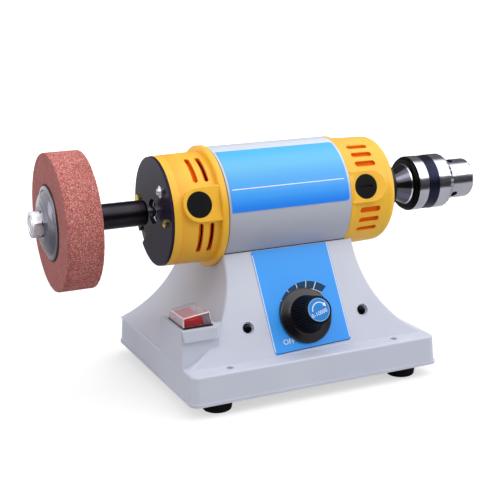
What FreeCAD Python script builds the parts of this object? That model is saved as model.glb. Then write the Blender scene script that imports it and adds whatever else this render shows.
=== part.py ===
import FreeCAD, Part
import math
import os

# Bench polishing lathe: a motor on a hollow pedestal, a grinding wheel on its left end
# and a three-jaw drill chuck on its right end.
# Millimetres. X runs along the spindle (wheel at -X, chuck at +X), -Y is the front with
# the speed knob, +Z is up. The origin is on the floor, at the centre of the base.

V = FreeCAD.Vector
X_AXIS = V(1, 0, 0)
Y_AXIS = V(0, 1, 0)
Z_AXIS = V(0, 0, 1)

# ---------------------------------------------------------------- clearances
SEAT_GAP = 0.1       # a screw or spigot in its hole
RUN_FIT = 0.05       # radial clearance of a turning or sliding fit
SIDE_GAP = 0.3       # between faces that pass each other
FILM_GAP = 0.03      # glue line under a wrapped film

# ---------------------------------------------------------------- base casting
FOOT_H = 9.0
SLAB_HALF_X = 99.6
SLAB_HALF_Y = 82.4
SLAB_H = 21.9
SLAB_DRAFT = 1.3
SLAB_CORNER_R = 6.0
SLAB_LIP = 0.7
SLAB_LIP_H = 2.2
SLAB_EDGE_R = 1.6
SHELL_WALL = 3.0
LEDGE_Y = 14.8            # step of slab in front of the pedestal
WALL_LEAN = 25.8          # lean of the pedestal's front and rear, from vertical
WAIST_HALF_X = 54.5       # half width at the narrowest height
WAIST_DROP = 35.3         # from the spindle line down to that height
SIDE_ARC_R = 75.0         # hollow sweep of each side
CREASE_R = 1.8
RIM_LAND = 1.2            # flat rim where the pedestal meets the motor
BENCH_HOLE_IN_X = 31.54     # bench holes, in from the slab's sides
BENCH_HOLE_IN_Y = 9.0
BENCH_HOLE_R = 2.6
BENCH_BOSS_R = 5.6
BASE_PLATE_T = 1.5
FOOT_IN_X = 22.6          # feet, in from the slab's sides
FOOT_IN_Y = 13.4
FOOT_R = 11.8
FOOT_SOLE_R = 10.4
FOOT_RECESS_R = 4.6
FOOT_RECESS_H = 4.0
FOOT_SCREW_R = 1.9
FOOT_SCREW_L = 15.0
FOOT_BOSS_R = 5.0

# ---------------------------------------------------------------- switch box and switch
BOX_TOP = 28.6            # above the slab
BOX_L = 28.6
BOX_DEPTH = 45.6
BOX_SETBACK = 20.8        # from the slab's front
BOX_WALL = 2.0
BOX_REAR_R = 8.0
LIP_H = 8.2
LIP_OUT = 3.0
LIP_CUT = 1.6
LIP_END = 2.5             # lip's corner, from the box's right side
SWITCH_IN_X = 13.4        # switch centre, from the box's left and front
SWITCH_IN_Y = 16.4
BEZEL_X = 23.6
BEZEL_Y = 32.0
BEZEL_T = 1.5
SWITCH_BODY_X = 18.4
SWITCH_BODY_Y = 28.0
SWITCH_BODY_H = 21.0
SWITCH_BODY_OFF = -2.0     # body and rocker lie a little left of the bezel's centre
SWITCH_WALL = 1.0
ROCKER_BASE_X = 14.6
ROCKER_TOP_X = 12.6
ROCKER_H = 5.0
ROCKER_TILT = 6.5
ROCKER_PIN_R = 1.2
ROCKER_PIN_L = 0.8
COVER_X = 22.2
COVER_Y = 30.0
COVER_H_LEFT = 6.9        # at its front
COVER_H_RIGHT = 9.4
COVER_FALL = 0.7          # its rear is lower by this
COVER_WALL = 0.8
COVER_TAPER = 0.6         # front and rear
COVER_TAPER_LEFT = 0.2
COVER_TAPER_RIGHT = 1.8

# ---------------------------------------------------------------- control panel
PANEL_X = 2.0
PANEL_HALF_X = 32.0
PANEL_UP0 = 1.7
PANEL_TOP_IN = 1.4        # plate's top edge, below the rim
PANEL_TURN = 2.1          # the plate is stuck on a little askew
PANEL_TURN_UP = 27.6
PANEL_T = 0.35
PANEL_SCREW_X = 47.9
PANEL_SCREW_UP = 23.8
PANEL_SCREW_R = 3.6
KNOB_ACROSS = 1.2
KNOB_UP = 26.2
KNOB_SKIRT_R = 21.0
KNOB_RIM_H = 2.6
KNOB_GRIP_R0 = 13.2
KNOB_GRIP_R1 = 10.6
KNOB_GRIP_UP = 6.6
KNOB_H = 24.8
KNOB_FLUTES = 30
KNOB_FLUTE_R = 0.8
KNOB_DISC_R = 8.9
KNOB_DISC_T = 0.8
POT_SHAFT_R = 3.0
POT_BUSH_R = 4.6
POT_BODY_R = 12.0
POT_BODY_H = 9.0

# ---------------------------------------------------------------- spindle line and motor
AXIS_Z = 134.0
TUBE_X0 = -53.7
TUBE_X1 = 48.0
TUBE_R = 44.4
TUBE_WALL = 2.4
CAP_STEP = 2.8            # caps are smaller than the tube by this
CAP_DRAFT = 0.7
LEFT_CAP_L = 39.9
RIGHT_CAP_L = 42.5
CAP_WALL = 2.8
COLLAR_OUT = 1.3          # collar over the tube
COLLAR_L = 4.7
FLANGE_L = 4.0
SPIGOT_L = 6.0
RIGHT_CAP_ROUND = 7.0
RIGHT_CAP_TAPER = 0.8
PAD_OUT = 1.8             # flat pads over the drum
LEFT_PAD_HALF = 13.0
RIGHT_PAD_HALF = 12.6
LEFT_PAD_END = 33.3       # from the tube to the pad's round end
RIGHT_PAD_END = 31.6
BRUSH_TURN = 76.0         # brush axis, turned from the top towards the front
CAP_PLUG_R = 9.5
LEFT_PLUG_OUT = 21.2      # plug centre from the tube
RIGHT_PLUG_OUT = 13.7
RING_SLOT_W = 3.8
RING_SLOT_OUT = (19.8, 11.5)
RING_SLOT_ARCS = ((-54.5, -25.5), (22.0, 52.0))
BAR_SLOT_OUT = (9.2, 27.2)
BAR_SLOT_W = 4.6
BAR_SLOT_TURNS = (25.0, 36.8, 49.0)
LABEL_OUT = (3.1, 2.0)    # bare tube left at each end of the wrapped label
LABEL_TURNS = (19.0, 87.5)
LABEL_T = 0.3
LABEL_CORNER_R = 8.0
END_PLATE_IN = 0.3        # plate's edge inside the cap's
END_PLATE_T = 2.0
END_PLATE_HOLE_R = 9.4
END_SCREWS = ((31.4, 4.7), (-28.4, -3.4))
EARTH_SCREW = (-20.3, 18.3)
NOTCH_TURN = 230.5
NOTCH_R0 = 27.5
NOTCH_HALF = 5.2
END_WINDOWS = ((120.0, 185.0), (200.0, 262.0), (295.0, 375.0))

SHAFT_END_R = 4.0
SHAFT_MID_R = 6.0
BEARING_R = 11.0
BEARING_L = 7.0
BEARING_INNER_R = 6.2
HUB_R = 14.5
HUB_LIP = 1.0
STATOR_X0 = -28.0
STATOR_L = 46.0
STATOR_YOKE = 9.0
POLE_DEPTH = 8.4
POLE_HALF_TURN = 52.0
ARMATURE_GAP = 0.6
ARMATURE_SLOTS = 12
COMMUTATOR_R = 14.0
COMMUTATOR_L = 17.0
COMMUTATOR_BARS = 24
FAN_ROOM = 5.8
FAN_L = 9.0
FAN_BLADES = 12
TIE_BOLT_R = 1.6
TIE_BOLT_IN = 5.0
TIE_BOSS_R = 4.0
TIE_BOSS_L = 12.0
TIE_TURNS = (166.0, 346.0)
SADDLE_SCREW_X = 34.0
SADDLE_SCREW_IN = 15.0    # degrees inside the saddle's front rim
SADDLE_SCREW_R = 2.0

# ---------------------------------------------------------------- brush gear
BRUSH_X = 6.4
BRUSH_T = 5.0
BRUSH_L = 14.0
HOLDER_WALL = 1.0
BRUSH_SPRING_R = 2.3
BRUSH_SPRING_WIRE = 0.5
BRUSH_SPRING_TURNS = 6
BRUSH_BOSS_R = 12.0
BRUSH_CAP_L = 7.4
BRUSH_BORE_L = 10.4

# ---------------------------------------------------------------- grinding end
ARBOR_R = 9.5
ARBOR_X0 = -142.7
ARBOR_X1 = -101.5
ARBOR_BORE_L = 26.0
ARBOR_END_R = 2.5
THREAD_R = 6.0
INNER_FLANGE_R = 22.0
INNER_FLANGE_T = 5.0
WHEEL_R = 50.0
WHEEL_W = 26.0
WHEEL_EDGE = 0.8
OUTER_FLANGE_R = 26.8
OUTER_FLANGE_H = 6.6
OUTER_FLANGE_T = 1.6
WHEEL_NUT_AF = 19.0
WHEEL_NUT_H = 6.7
WHEEL_NUT_TURN = 77.0

# ---------------------------------------------------------------- drill chuck
BEARING_COVER_R = 19.8
BEARING_COVER_L = 13.5
ADAPTER_R = 8.0
ADAPTER_BACK = 2.0         # from the cap's end to the adapter's rear end
ADAPTER_STUB_L = 16.0
ADAPTER_STUB_R = 5.0
CHUCK_X0 = 109.0          # rear face of the chuck body
CHUCK_CONE_R0 = 9.2
CHUCK_CONE_R1 = 16.7
CHUCK_CONE_L = 11.6
REAR_RING_T = 2.4
REAR_RING_R = 21.3
SLEEVE_R = 22.2
SLEEVE_WALL = 2.2
SLEEVE_L = 31.4           # cylindrical part of the sleeve
SLEEVE_BEVEL_L = 4.6
TOOTH_COUNT = 30
TOOTH_DEPTH = 1.3
BAND_X0 = 9.3             # knurled band, from the sleeve's rear
BAND_L = 10.1
BAND_DEPTH = 0.25
NOSE_R = 16.1
NOSE_END = 181.4
NOSE_EDGE = 3.0
THROAT_R = 5.6
KEY_HOLE_R = 3.0
KEY_HOLE_X = 163.4
KEY_HOLE_DEPTH = 7.5
KEY_HOLE_TURNS = (12.0, 132.0, 252.0)
NUT_L = 6.4
NUT_GROOVE_R = 12.2
JAW_R = 3.2
JAW_ANGLE = 13.0
JAW_TIP_X = 183.4
JAW_GRIP = 3.0            # grip radius at rest: the jaws hold a 6 mm shank
JAW_GRIP_MIN = 0.35       # grip radius with the jaws closed
JAW_LAND = 0.6
JAW_L = 46.0
JAW_BACK_ROOM = 10.0
SLEEVE_GRIP = 0.15         # nut's conical bore to the jaws
JAW_TURNS = (72.0, 192.0, 312.0)

# ---------------------------------------------------------------- values worked out once
SLAB_TOP = FOOT_H + SLAB_H
FRONT_FOOT_Y = -(SLAB_HALF_Y - LEDGE_Y)
REAR_FOOT_Y = SLAB_HALF_Y - 0.4
LEAN = math.radians(WALL_LEAN)
PANEL_NORMAL = V(0, -math.cos(LEAN), math.sin(LEAN))
PANEL_RISE = V(0, math.sin(LEAN), math.cos(LEAN))
SADDLE_R = TUBE_R + SEAT_GAP
BOX_TOP_Z = SLAB_TOP + BOX_TOP
LEFT_CAP_X = TUBE_X0 - LEFT_CAP_L
RIGHT_CAP_X = TUBE_X1 + RIGHT_CAP_L
BRUSH_LINE_X = TUBE_X1 + RIGHT_PLUG_OUT
WHEEL_X1 = ARBOR_X0 - INNER_FLANGE_T
WHEEL_X0 = WHEEL_X1 - WHEEL_W
SLEEVE_X0 = CHUCK_X0 + CHUCK_CONE_L + REAR_RING_T + SIDE_GAP
SLEEVE_X1 = SLEEVE_X0 + SLEEVE_L
SLEEVE_BORE = SLEEVE_R - SLEEVE_WALL
FOOT_X = SLAB_HALF_X - FOOT_IN_X
FOOT_Y = SLAB_HALF_Y - FOOT_IN_Y
BENCH_HOLE_X = SLAB_HALF_X - BENCH_HOLE_IN_X
BENCH_HOLE_Y = SLAB_HALF_Y - BENCH_HOLE_IN_Y
BOX_X0 = -SLAB_HALF_X
BOX_X1 = BOX_X0 + BOX_L
BOX_Y0 = BOX_SETBACK - SLAB_HALF_Y
BOX_Y1 = BOX_Y0 + BOX_DEPTH
SWITCH_X = BOX_X0 + SWITCH_IN_X
SWITCH_Y = BOX_Y0 + SWITCH_IN_Y
CAP_R = TUBE_R - CAP_STEP
LEFT_CAP_END_R = CAP_R - CAP_DRAFT
RIGHT_CAP_TUBE_R = CAP_R + RIGHT_CAP_TAPER
COLLAR_R = TUBE_R + COLLAR_OUT
PAD_FLAT = CAP_R + PAD_OUT
END_PLATE_R = LEFT_CAP_END_R - END_PLATE_IN
STATOR_POLE_R = TUBE_R - TUBE_WALL - STATOR_YOKE - POLE_DEPTH
TIE_BOLT_RING = TUBE_R - TUBE_WALL - TIE_BOLT_IN
FAN_R = CAP_R - CAP_WALL - FAN_ROOM
BRUSH_CAP_LOW = PAD_FLAT - BRUSH_CAP_L


# ================================================================ small helpers
def save(name, shape):
    """Write one node as a STEP file."""
    os.makedirs("parts", exist_ok=True)
    shape.exportStep(os.path.join("parts", name + ".step"))


def fuse(shapes):
    """Join solids into one."""
    first = shapes[0]
    return first.fuse(list(shapes[1:])).removeSplitter() if len(shapes) > 1 else first


def cut(shape, tools):
    """Take tools out of a solid."""
    return shape.cut(list(tools)).removeSplitter()


def face_of(points):
    """Flat face inside a closed polygon of vectors."""
    return Part.Face(Part.makePolygon(list(points) + [points[0]]))


def round_bar(radius, start, end):
    """Cylinder between two points."""
    along = end - start
    return Part.makeCylinder(radius, along.Length, start, along)


def x_bar(radius, x0, x1, y=0.0, z=AXIS_Z):
    """Cylinder along X, on the spindle line unless told otherwise."""
    return round_bar(radius, V(x0, y, z), V(x1, y, z))


def x_ring(outer, inner, x0, x1):
    """Plain ring on the spindle line."""
    return x_bar(outer, x0, x1).cut(x_bar(inner, x0 - 1, x1 + 1))


def spin(points):
    """Turned solid on the spindle line, from an outline of (x, radius) points.
    A point given as a pair of pairs is the middle and the end of an arc."""
    def place(p):
        return V(p[0], 0, AXIS_Z + p[1])
    edges = []
    here = points[0]
    for step in list(points[1:]) + [points[0]]:
        if isinstance(step[0], tuple):
            middle, end = step
            edges.append(Part.Arc(place(here), place(middle), place(end)).toShape())
        else:
            end = step
            if (place(end) - place(here)).Length > 1e-6:
                edges.append(Part.LineSegment(place(here), place(end)).toShape())
        here = end
    return Part.Face(Part.Wire(edges)).revolve(V(0, 0, AXIS_Z), X_AXIS, 360)


def turned(shape, turn):
    """Copy turned about the spindle line, from the top towards the front."""
    copy = shape.copy()
    copy.rotate(V(0, 0, AXIS_Z), X_AXIS, turn)
    return copy


def block(x0, x1, y0, y1, z0, z1):
    """Box from its six faces."""
    return Part.makeBox(x1 - x0, y1 - y0, z1 - z0, V(x0, y0, z0))


def rounded_rect(half_x, half_y, radius, z, centre_x=0.0, centre_y=0.0):
    """Closed wire of a rounded rectangle at height z."""
    edges = []
    corners = ((1, 1, 0), (-1, 1, 90), (-1, -1, 180), (1, -1, 270))
    ends = []
    for sx, sy, start in corners:
        c = V(centre_x + sx * (half_x - radius), centre_y + sy * (half_y - radius), z)
        a0, am, a1 = (math.radians(start + d) for d in (0, 45, 90))
        p0, pm, p1 = (c + V(radius * math.cos(a), radius * math.sin(a), 0) for a in (a0, am, a1))
        ends.append((p0, p1))
        edges.append(Part.Arc(p0, pm, p1).toShape())
    for i in range(4):
        edges.append(Part.LineSegment(ends[i][1], ends[(i + 1) % 4][0]).toShape())
    return Part.Wire(Part.__sortEdges__(edges))


def loft(wires):
    """Straight-sided solid through closed wires."""
    return Part.makeLoft(wires, True, True)


def on_panel(across, up, out=0.0):
    """Point on the sloping front: across in X, up the slope, out along its normal."""
    foot = V(0, FRONT_FOOT_Y, SLAB_TOP)
    return foot + X_AXIS * across + PANEL_RISE * up + PANEL_NORMAL * out


def panel_turned(points, across, up):
    """Turned solid on a line square to the panel, from (height, radius) points."""
    flat = [V(r, 0, h) for h, r in points]
    solid = face_of(flat).revolve(V(0, 0, 0), Z_AXIS, 360)
    solid.Placement = FreeCAD.Placement(on_panel(across, up), FreeCAD.Rotation(Z_AXIS, PANEL_NORMAL))
    return solid


def knob_turned(points):
    """Turned solid on the knob's line."""
    return panel_turned(points, KNOB_ACROSS, KNOB_UP)


def edges_between(shape, keep):
    """Edges whose two ends and middle all pass a test."""
    found = []
    for edge in shape.Edges:
        middle = edge.valueAt((edge.FirstParameter + edge.LastParameter) / 2)
        if all(keep(p) for p in [v.Point for v in edge.Vertexes] + [middle]):
            found.append(edge)
    return found


# ================================================================ base
def rim_height(foot_y):
    """Height where a leaning wall comes within the rim land of the saddle bore."""
    low, high = SLAB_TOP, AXIS_Z
    for _ in range(50):
        z = (low + high) / 2
        wall = abs(foot_y) - (z - SLAB_TOP) * math.tan(LEAN)
        bore = math.sqrt(max(SADDLE_R ** 2 - (AXIS_Z - z) ** 2, 0.0))
        if wall - bore > RIM_LAND:
            low = z
        else:
            high = z
    return low


def pedestal_form(inset):
    """Pedestal block, inset by a wall: hollow arcs at the sides, leaning front and rear."""
    waist_z = AXIS_Z - WAIST_DROP
    radius = SIDE_ARC_R + inset
    centre_x = WAIST_HALF_X + SIDE_ARC_R
    reach = SLAB_HALF_Y + 20
    low = SLAB_TOP - (SHELL_WALL + 1.0 if inset else SLAB_EDGE_R)
    high = AXIS_Z
    slab_x, slab_y = SLAB_HALF_X - inset - 0.2, SLAB_HALF_Y - inset - 0.1
    block_form = block(-slab_x, slab_x, -slab_y, slab_y, low, high)
    sides = [Part.makeCylinder(radius, 2 * reach, V(s * centre_x, -reach, waist_z), Y_AXIS)
             for s in (-1, 1)]
    block_form = block_form.cut(sides)
    block_form = [s for s in block_form.Solids if s.BoundBox.Center.Length > 0
                  and abs(s.BoundBox.Center.x) < 1][0]
    slip = inset / math.cos(LEAN)
    front_z = rim_height(FRONT_FOOT_Y)
    rear_z = rim_height(REAR_FOOT_Y)
    lean = math.tan(LEAN)

    def wall_y(foot_y, z):
        side = 1 if foot_y > 0 else -1
        return side * (abs(foot_y) - slip - (z - SLAB_TOP) * lean)
    outline = [V(-reach, wall_y(FRONT_FOOT_Y, low), low),
               V(-reach, wall_y(FRONT_FOOT_Y, front_z), front_z),
               V(-reach, wall_y(REAR_FOOT_Y, rear_z), rear_z),
               V(-reach, wall_y(REAR_FOOT_Y, low), low)]
    leaning = face_of(outline).extrude(V(2 * reach, 0, 0))
    return block_form.common(leaning)


def slab_form(inset, z0, z1):
    """Slab with drafted sides, inset by a wall."""
    def half(z):
        return SLAB_DRAFT * (SLAB_TOP - z) / SLAB_H - inset
    radius = max(SLAB_CORNER_R - inset, 1.0)
    return loft([rounded_rect(SLAB_HALF_X + half(z), SLAB_HALF_Y + half(z), radius, z)
                 for z in (z0, z1)])


def switch_box_form(inset):
    """Block under the rocker switch, with its overhanging lip when it is the outside."""
    z1 = BOX_TOP_Z - inset
    body = block(BOX_X0 + inset, BOX_X1 - inset, BOX_Y0 + inset, BOX_Y1 - inset, FOOT_H + SLAB_LIP_H, z1)
    rear = edges_between(body, lambda p: abs(p.z - z1) < 1e-3 and abs(p.y - BOX_Y1 + inset) < 1e-3)
    body = body.makeFillet(BOX_REAR_R - inset, rear)
    if inset:
        return body
    lip_z = z1 - LIP_H

    def level(z, left, right):
        front, rear = BOX_Y0 - LIP_OUT, BOX_Y0 + 8
        return face_of([V(left, front, z), V(BOX_X1 - LIP_END, front, z), V(right, rear, z),
                        V(BOX_X0, rear, z)]).OuterWire
    return fuse([body, loft([level(lip_z, BOX_X0 + LIP_CUT, BOX_X1 + 5), level(z1, BOX_X0, BOX_X1 + 7)])])


def base_shell():
    """Hollow casting: slab, pedestal with a saddle, switch box, bosses and openings."""
    slab = slab_form(0.0, FOOT_H, SLAB_TOP)
    top_edges = edges_between(slab, lambda p: abs(p.z - SLAB_TOP) < 1e-3)
    slab = slab.makeFillet(SLAB_EDGE_R, top_edges)
    lip = loft([rounded_rect(SLAB_HALF_X + SLAB_DRAFT + SLAB_LIP, SLAB_HALF_Y + SLAB_DRAFT + SLAB_LIP,
                             SLAB_CORNER_R + SLAB_LIP, z) for z in (FOOT_H, FOOT_H + SLAB_LIP_H)])
    pedestal = pedestal_form(0.0)
    crease = edges_between(pedestal, lambda p: p.z > SLAB_TOP - 4 and abs(p.x) > WAIST_HALF_X - 1
                           and abs(p.x) < SLAB_HALF_X + 5)
    crease = [e for e in crease if e.BoundBox.ZLength > 20]
    pedestal = pedestal.makeFillet(CREASE_R, crease)
    outside = fuse([slab, lip, pedestal, switch_box_form(0.0)])
    well = fuse([slab_form(SHELL_WALL, FOOT_H - 1, SLAB_TOP - SHELL_WALL),
                 pedestal_form(SHELL_WALL), switch_box_form(BOX_WALL)])
    well = well.cut(x_bar(SADDLE_R + SHELL_WALL, -120, 120))
    well = well.Solids[0] if len(well.Solids) == 1 else max(well.Solids, key=lambda s: s.Volume)
    shell = outside.cut([well, x_bar(SADDLE_R, -120, 120),
                         x_bar(COLLAR_R + SIDE_GAP, TUBE_X0 - COLLAR_L - 3, TUBE_X0 + SIDE_GAP)])
    floor_z = FOOT_H + BASE_PLATE_T
    tall = AXIS_Z - floor_z
    bosses = [Part.makeCylinder(FOOT_BOSS_R, tall, V(sx * FOOT_X, sy * FOOT_Y, floor_z)).common(outside)
              for sx in (-1, 1) for sy in (-1, 1)]
    bosses += [Part.makeCylinder(BENCH_BOSS_R, tall, V(sx * BENCH_HOLE_X, -BENCH_HOLE_Y,
                                                       floor_z)).common(outside)
               for sx in (-1, 1)]
    shell = fuse([shell] + bosses)
    holes = [Part.makeCylinder(FOOT_SCREW_R + SEAT_GAP, FOOT_SCREW_L, V(sx * FOOT_X, sy * FOOT_Y, FOOT_H))
             for sx in (-1, 1) for sy in (-1, 1)]
    holes += [Part.makeCylinder(BENCH_HOLE_R, SLAB_H + 2, V(sx * BENCH_HOLE_X, -BENCH_HOLE_Y, FOOT_H - 1))
              for sx in (-1, 1)]
    deep = SHELL_WALL * 2
    for side in (-1, 1):
        at = PANEL_X + side * PANEL_SCREW_X
        for radius, low in ((PANEL_SCREW_R + 0.8, -1.8), (1.6, -deep)):
            holes.append(round_bar(radius, on_panel(at, PANEL_SCREW_UP, low),
                                   on_panel(at, PANEL_SCREW_UP, 2)))
    holes.append(round_bar(POT_BUSH_R + SEAT_GAP, on_panel(KNOB_ACROSS, KNOB_UP, -deep),
                           on_panel(KNOB_ACROSS, KNOB_UP, 2)))
    body_x = SWITCH_X + SWITCH_BODY_OFF
    holes.append(block(body_x - SWITCH_BODY_X / 2 - SEAT_GAP, body_x + SWITCH_BODY_X / 2 + SEAT_GAP,
                       SWITCH_Y - SWITCH_BODY_Y / 2 - SEAT_GAP, SWITCH_Y + SWITCH_BODY_Y / 2 + SEAT_GAP,
                       BOX_TOP_Z - BOX_WALL * 2, BOX_TOP_Z + 5))
    holes += [saddle_screw_bar(SADDLE_SCREW_R + SEAT_GAP, x, side, -2, 10)
              for x in (-SADDLE_SCREW_X, SADDLE_SCREW_X) for side in (-1, 1)]
    start, normal = gland_place()
    holes.append(round_bar(GLAND_R + SEAT_GAP, start - normal * deep, start + normal * 2))
    return cut(shell, holes)


def base_plate():
    """Sheet that closes the base from below, inside its walls."""
    inset = SHELL_WALL + SIDE_GAP
    plate = slab_form(inset, FOOT_H, FOOT_H + BASE_PLATE_T)
    holes = [Part.makeCylinder(FOOT_SCREW_R + SEAT_GAP, 10, V(sx * FOOT_X, sy * FOOT_Y, FOOT_H - 5))
             for sx in (-1, 1) for sy in (-1, 1)]
    holes += [Part.makeCylinder(BENCH_HOLE_R, 10, V(sx * BENCH_HOLE_X, -BENCH_HOLE_Y, FOOT_H - 5))
              for sx in (-1, 1)]
    holes += [block(x - 18, x + 18, y - 1.5, y + 1.5, FOOT_H - 1, FOOT_H + 5)
              for x in (-40, 40) for y in (-16, -8, 0, 8, 16)]
    return cut(plate, holes)


def rubber_feet():
    """Four turned rubber feet with a screw recess."""
    feet = []
    for sx in (-1, 1):
        for sy in (-1, 1):
            at = V(sx * FOOT_X, sy * FOOT_Y, 0)
            foot = Part.makeCone(FOOT_SOLE_R, FOOT_R, FOOT_H, at)
            sole = edges_between(foot, lambda p: p.z < 1e-3)
            foot = foot.makeFillet(1.4, [e for e in sole if e.BoundBox.XLength > 1])
            foot = foot.cut([Part.makeCylinder(FOOT_RECESS_R, FOOT_RECESS_H, at),
                             Part.makeCylinder(FOOT_SCREW_R + SEAT_GAP, FOOT_H, at)])
            feet.append(foot)
    return Part.makeCompound(feet)


def foot_screws():
    """Pan-head screws up through the feet."""
    screws = []
    for sx in (-1, 1):
        for sy in (-1, 1):
            x, y = sx * FOOT_X, sy * FOOT_Y
            head = Part.makeCylinder(3.6, 2.2, V(x, y, FOOT_RECESS_H - 2.2))
            shank = Part.makeCylinder(FOOT_SCREW_R, FOOT_H - FOOT_RECESS_H + FOOT_SCREW_L - 1.5,
                                      V(x, y, FOOT_RECESS_H))
            screws.append(head.fuse(shank).removeSplitter())
    return Part.makeCompound(screws)


# ================================================================ control panel
def panel_label():
    """Thin printed plate on the sloping front."""
    top = (rim_height(FRONT_FOOT_Y) - SLAB_TOP) / math.cos(LEAN) - PANEL_TOP_IN
    half_up = (top - PANEL_UP0) / 2
    wire = rounded_rect(PANEL_HALF_X, half_up, 1.5, 0)
    plate = Part.Face(wire).extrude(V(0, 0, PANEL_T))
    plate.Placement = FreeCAD.Placement(on_panel(PANEL_X, PANEL_UP0 + half_up),
                                        FreeCAD.Rotation(X_AXIS, PANEL_RISE, PANEL_NORMAL, "ZXY"))
    plate.rotate(on_panel(PANEL_X, PANEL_TURN_UP), PANEL_NORMAL, PANEL_TURN)
    hole = round_bar(POT_BUSH_R + SEAT_GAP, on_panel(KNOB_ACROSS, KNOB_UP, -3),
                     on_panel(KNOB_ACROSS, KNOB_UP, 3))
    return plate.cut(hole)


def panel_screws():
    """Two recessed cross-head screws beside the panel."""
    screws = []
    for side in (-1, 1):
        at = PANEL_X + side * PANEL_SCREW_X
        body = panel_turned([(-9, 0), (-9, 1.5), (-1.8, 1.5), (-1.8, PANEL_SCREW_R), (-0.6, 2.6), (-0.3, 1.4),
                             (-0.3, 0)], at, PANEL_SCREW_UP)
        screws.append(body)
    return Part.makeCompound(screws)


def speed_knob():
    """Skirted knob with a fluted grip, hollow for the pot shaft."""
    gap = PANEL_T + 0.45
    outline = [(gap, 0), (gap, KNOB_SKIRT_R), (KNOB_RIM_H, KNOB_SKIRT_R),
               (KNOB_RIM_H + 0.6, KNOB_SKIRT_R - 1.0),
               (KNOB_GRIP_UP, KNOB_GRIP_R0 + 0.8), (KNOB_GRIP_UP + 0.5, KNOB_GRIP_R0),
               (KNOB_H - 0.8, KNOB_GRIP_R1), (KNOB_H, KNOB_GRIP_R1 - 0.7), (KNOB_H, 0)]
    knob = knob_turned(outline)
    grooves = []
    for i in range(KNOB_FLUTES):
        a = 2 * math.pi * i / KNOB_FLUTES

        def spot(radius, out):
            return on_panel(KNOB_ACROSS + radius * math.cos(a), KNOB_UP + radius * math.sin(a), out)
        grooves.append(round_bar(KNOB_FLUTE_R, spot(KNOB_GRIP_R0 + 0.45, KNOB_GRIP_UP + 0.5),
                                 spot(KNOB_GRIP_R1 + 0.45, KNOB_H + 1)))
    seat = KNOB_H - KNOB_DISC_T
    recess = knob_turned([(seat, 0), (seat, KNOB_DISC_R), (KNOB_H + 1, KNOB_DISC_R), (KNOB_H + 1, 0)])
    under = knob_turned([(gap - 1, POT_BUSH_R + 2.4), (gap - 1, KNOB_SKIRT_R - 2),
                         (KNOB_RIM_H + 0.2, KNOB_SKIRT_R - 3), (KNOB_GRIP_UP - 0.5, KNOB_GRIP_R0 - 2.5),
                         (KNOB_GRIP_UP - 0.5, POT_BUSH_R + 2.4)])
    bore = knob_turned([(gap - 1, 0), (gap - 1, POT_BUSH_R + SIDE_GAP), (5.0, POT_BUSH_R + SIDE_GAP),
                        (5.0, POT_SHAFT_R), (17, POT_SHAFT_R), (17, 0)])
    return cut(knob, grooves + [recess, under, bore])


def knob_disc():
    """Flat insert on the knob's face."""
    seat = KNOB_H - KNOB_DISC_T
    return knob_turned([(seat, 0), (seat, KNOB_DISC_R), (KNOB_H + 0.1, KNOB_DISC_R), (KNOB_H + 0.1, 0)])


def potentiometer():
    """Speed pot: can behind the panel, bush and nut through it, running bore for its shaft."""
    back = -SHELL_WALL - 0.6
    can = knob_turned([(back - POT_BODY_H, 0), (back - POT_BODY_H, POT_BODY_R), (back, POT_BODY_R),
                       (back, POT_BUSH_R + 4.0), (-SHELL_WALL, POT_BUSH_R + 4.0), (-SHELL_WALL, POT_BUSH_R),
                       (4.4, POT_BUSH_R), (4.4, 0)])
    bore = knob_turned([(back - 6, 0), (back - 6, POT_SHAFT_R + RUN_FIT), (6, POT_SHAFT_R + RUN_FIT), (6, 0)])
    lugs = []
    for across in (-5, 0, 5):
        start = on_panel(KNOB_ACROSS + across - 0.8, KNOB_UP - POT_BODY_R - 5, back - 4)
        lug = Part.makeBox(1.6, 0.6, 7)
        lug.Placement = FreeCAD.Placement(start, FreeCAD.Rotation(X_AXIS, PANEL_NORMAL * -1, PANEL_RISE,
                "ZXY"))
        lugs.append(lug)
    return cut(fuse([can] + lugs), [bore])


def pot_shaft():
    """Shaft that the knob is pressed on."""
    back = -SHELL_WALL - 0.6
    return knob_turned([(back - 5.7, 0), (back - 5.7, POT_SHAFT_R), (16.5, POT_SHAFT_R), (16.5, 0)])


# ================================================================ switch
def pivot_z():
    """Height of the rocker's pins."""
    return BOX_TOP_Z + BEZEL_T - 0.2


def switch_body():
    """Switch housing with a bezel on the box and a pocket for the rocker."""
    hx, hy = SWITCH_BODY_X / 2, SWITCH_BODY_Y / 2
    cx = SWITCH_X + SWITCH_BODY_OFF
    bezel = loft([rounded_rect(BEZEL_X / 2 - d, BEZEL_Y / 2 - d, 1.5, z, SWITCH_X, SWITCH_Y)
                  for d, z in ((0, BOX_TOP_Z), (0.4, BOX_TOP_Z + BEZEL_T))])
    body = block(cx - hx, cx + hx, SWITCH_Y - hy, SWITCH_Y + hy, BOX_TOP_Z - SWITCH_BODY_H, BOX_TOP_Z + 0.5)
    pocket = block(cx - hx + SWITCH_WALL, cx + hx - SWITCH_WALL, SWITCH_Y - hy + SWITCH_WALL,
                   SWITCH_Y + hy - SWITCH_WALL, BOX_TOP_Z - 8, BOX_TOP_Z + 5)
    pins = round_bar(ROCKER_PIN_R + RUN_FIT, V(cx, SWITCH_Y - hy + 0.2, pivot_z()),
                     V(cx, SWITCH_Y + hy - 0.2, pivot_z()))
    tabs = [block(cx + dx - 0.4, cx + dx + 0.4, SWITCH_Y + dy - 2.4, SWITCH_Y + dy + 2.4,
                  BOX_TOP_Z - SWITCH_BODY_H - 8, BOX_TOP_Z - SWITCH_BODY_H + 0.5)
            for dx in (-5, 5) for dy in (-6, 6)]
    return cut(fuse([bezel, body] + tabs), [pocket, pins])


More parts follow.
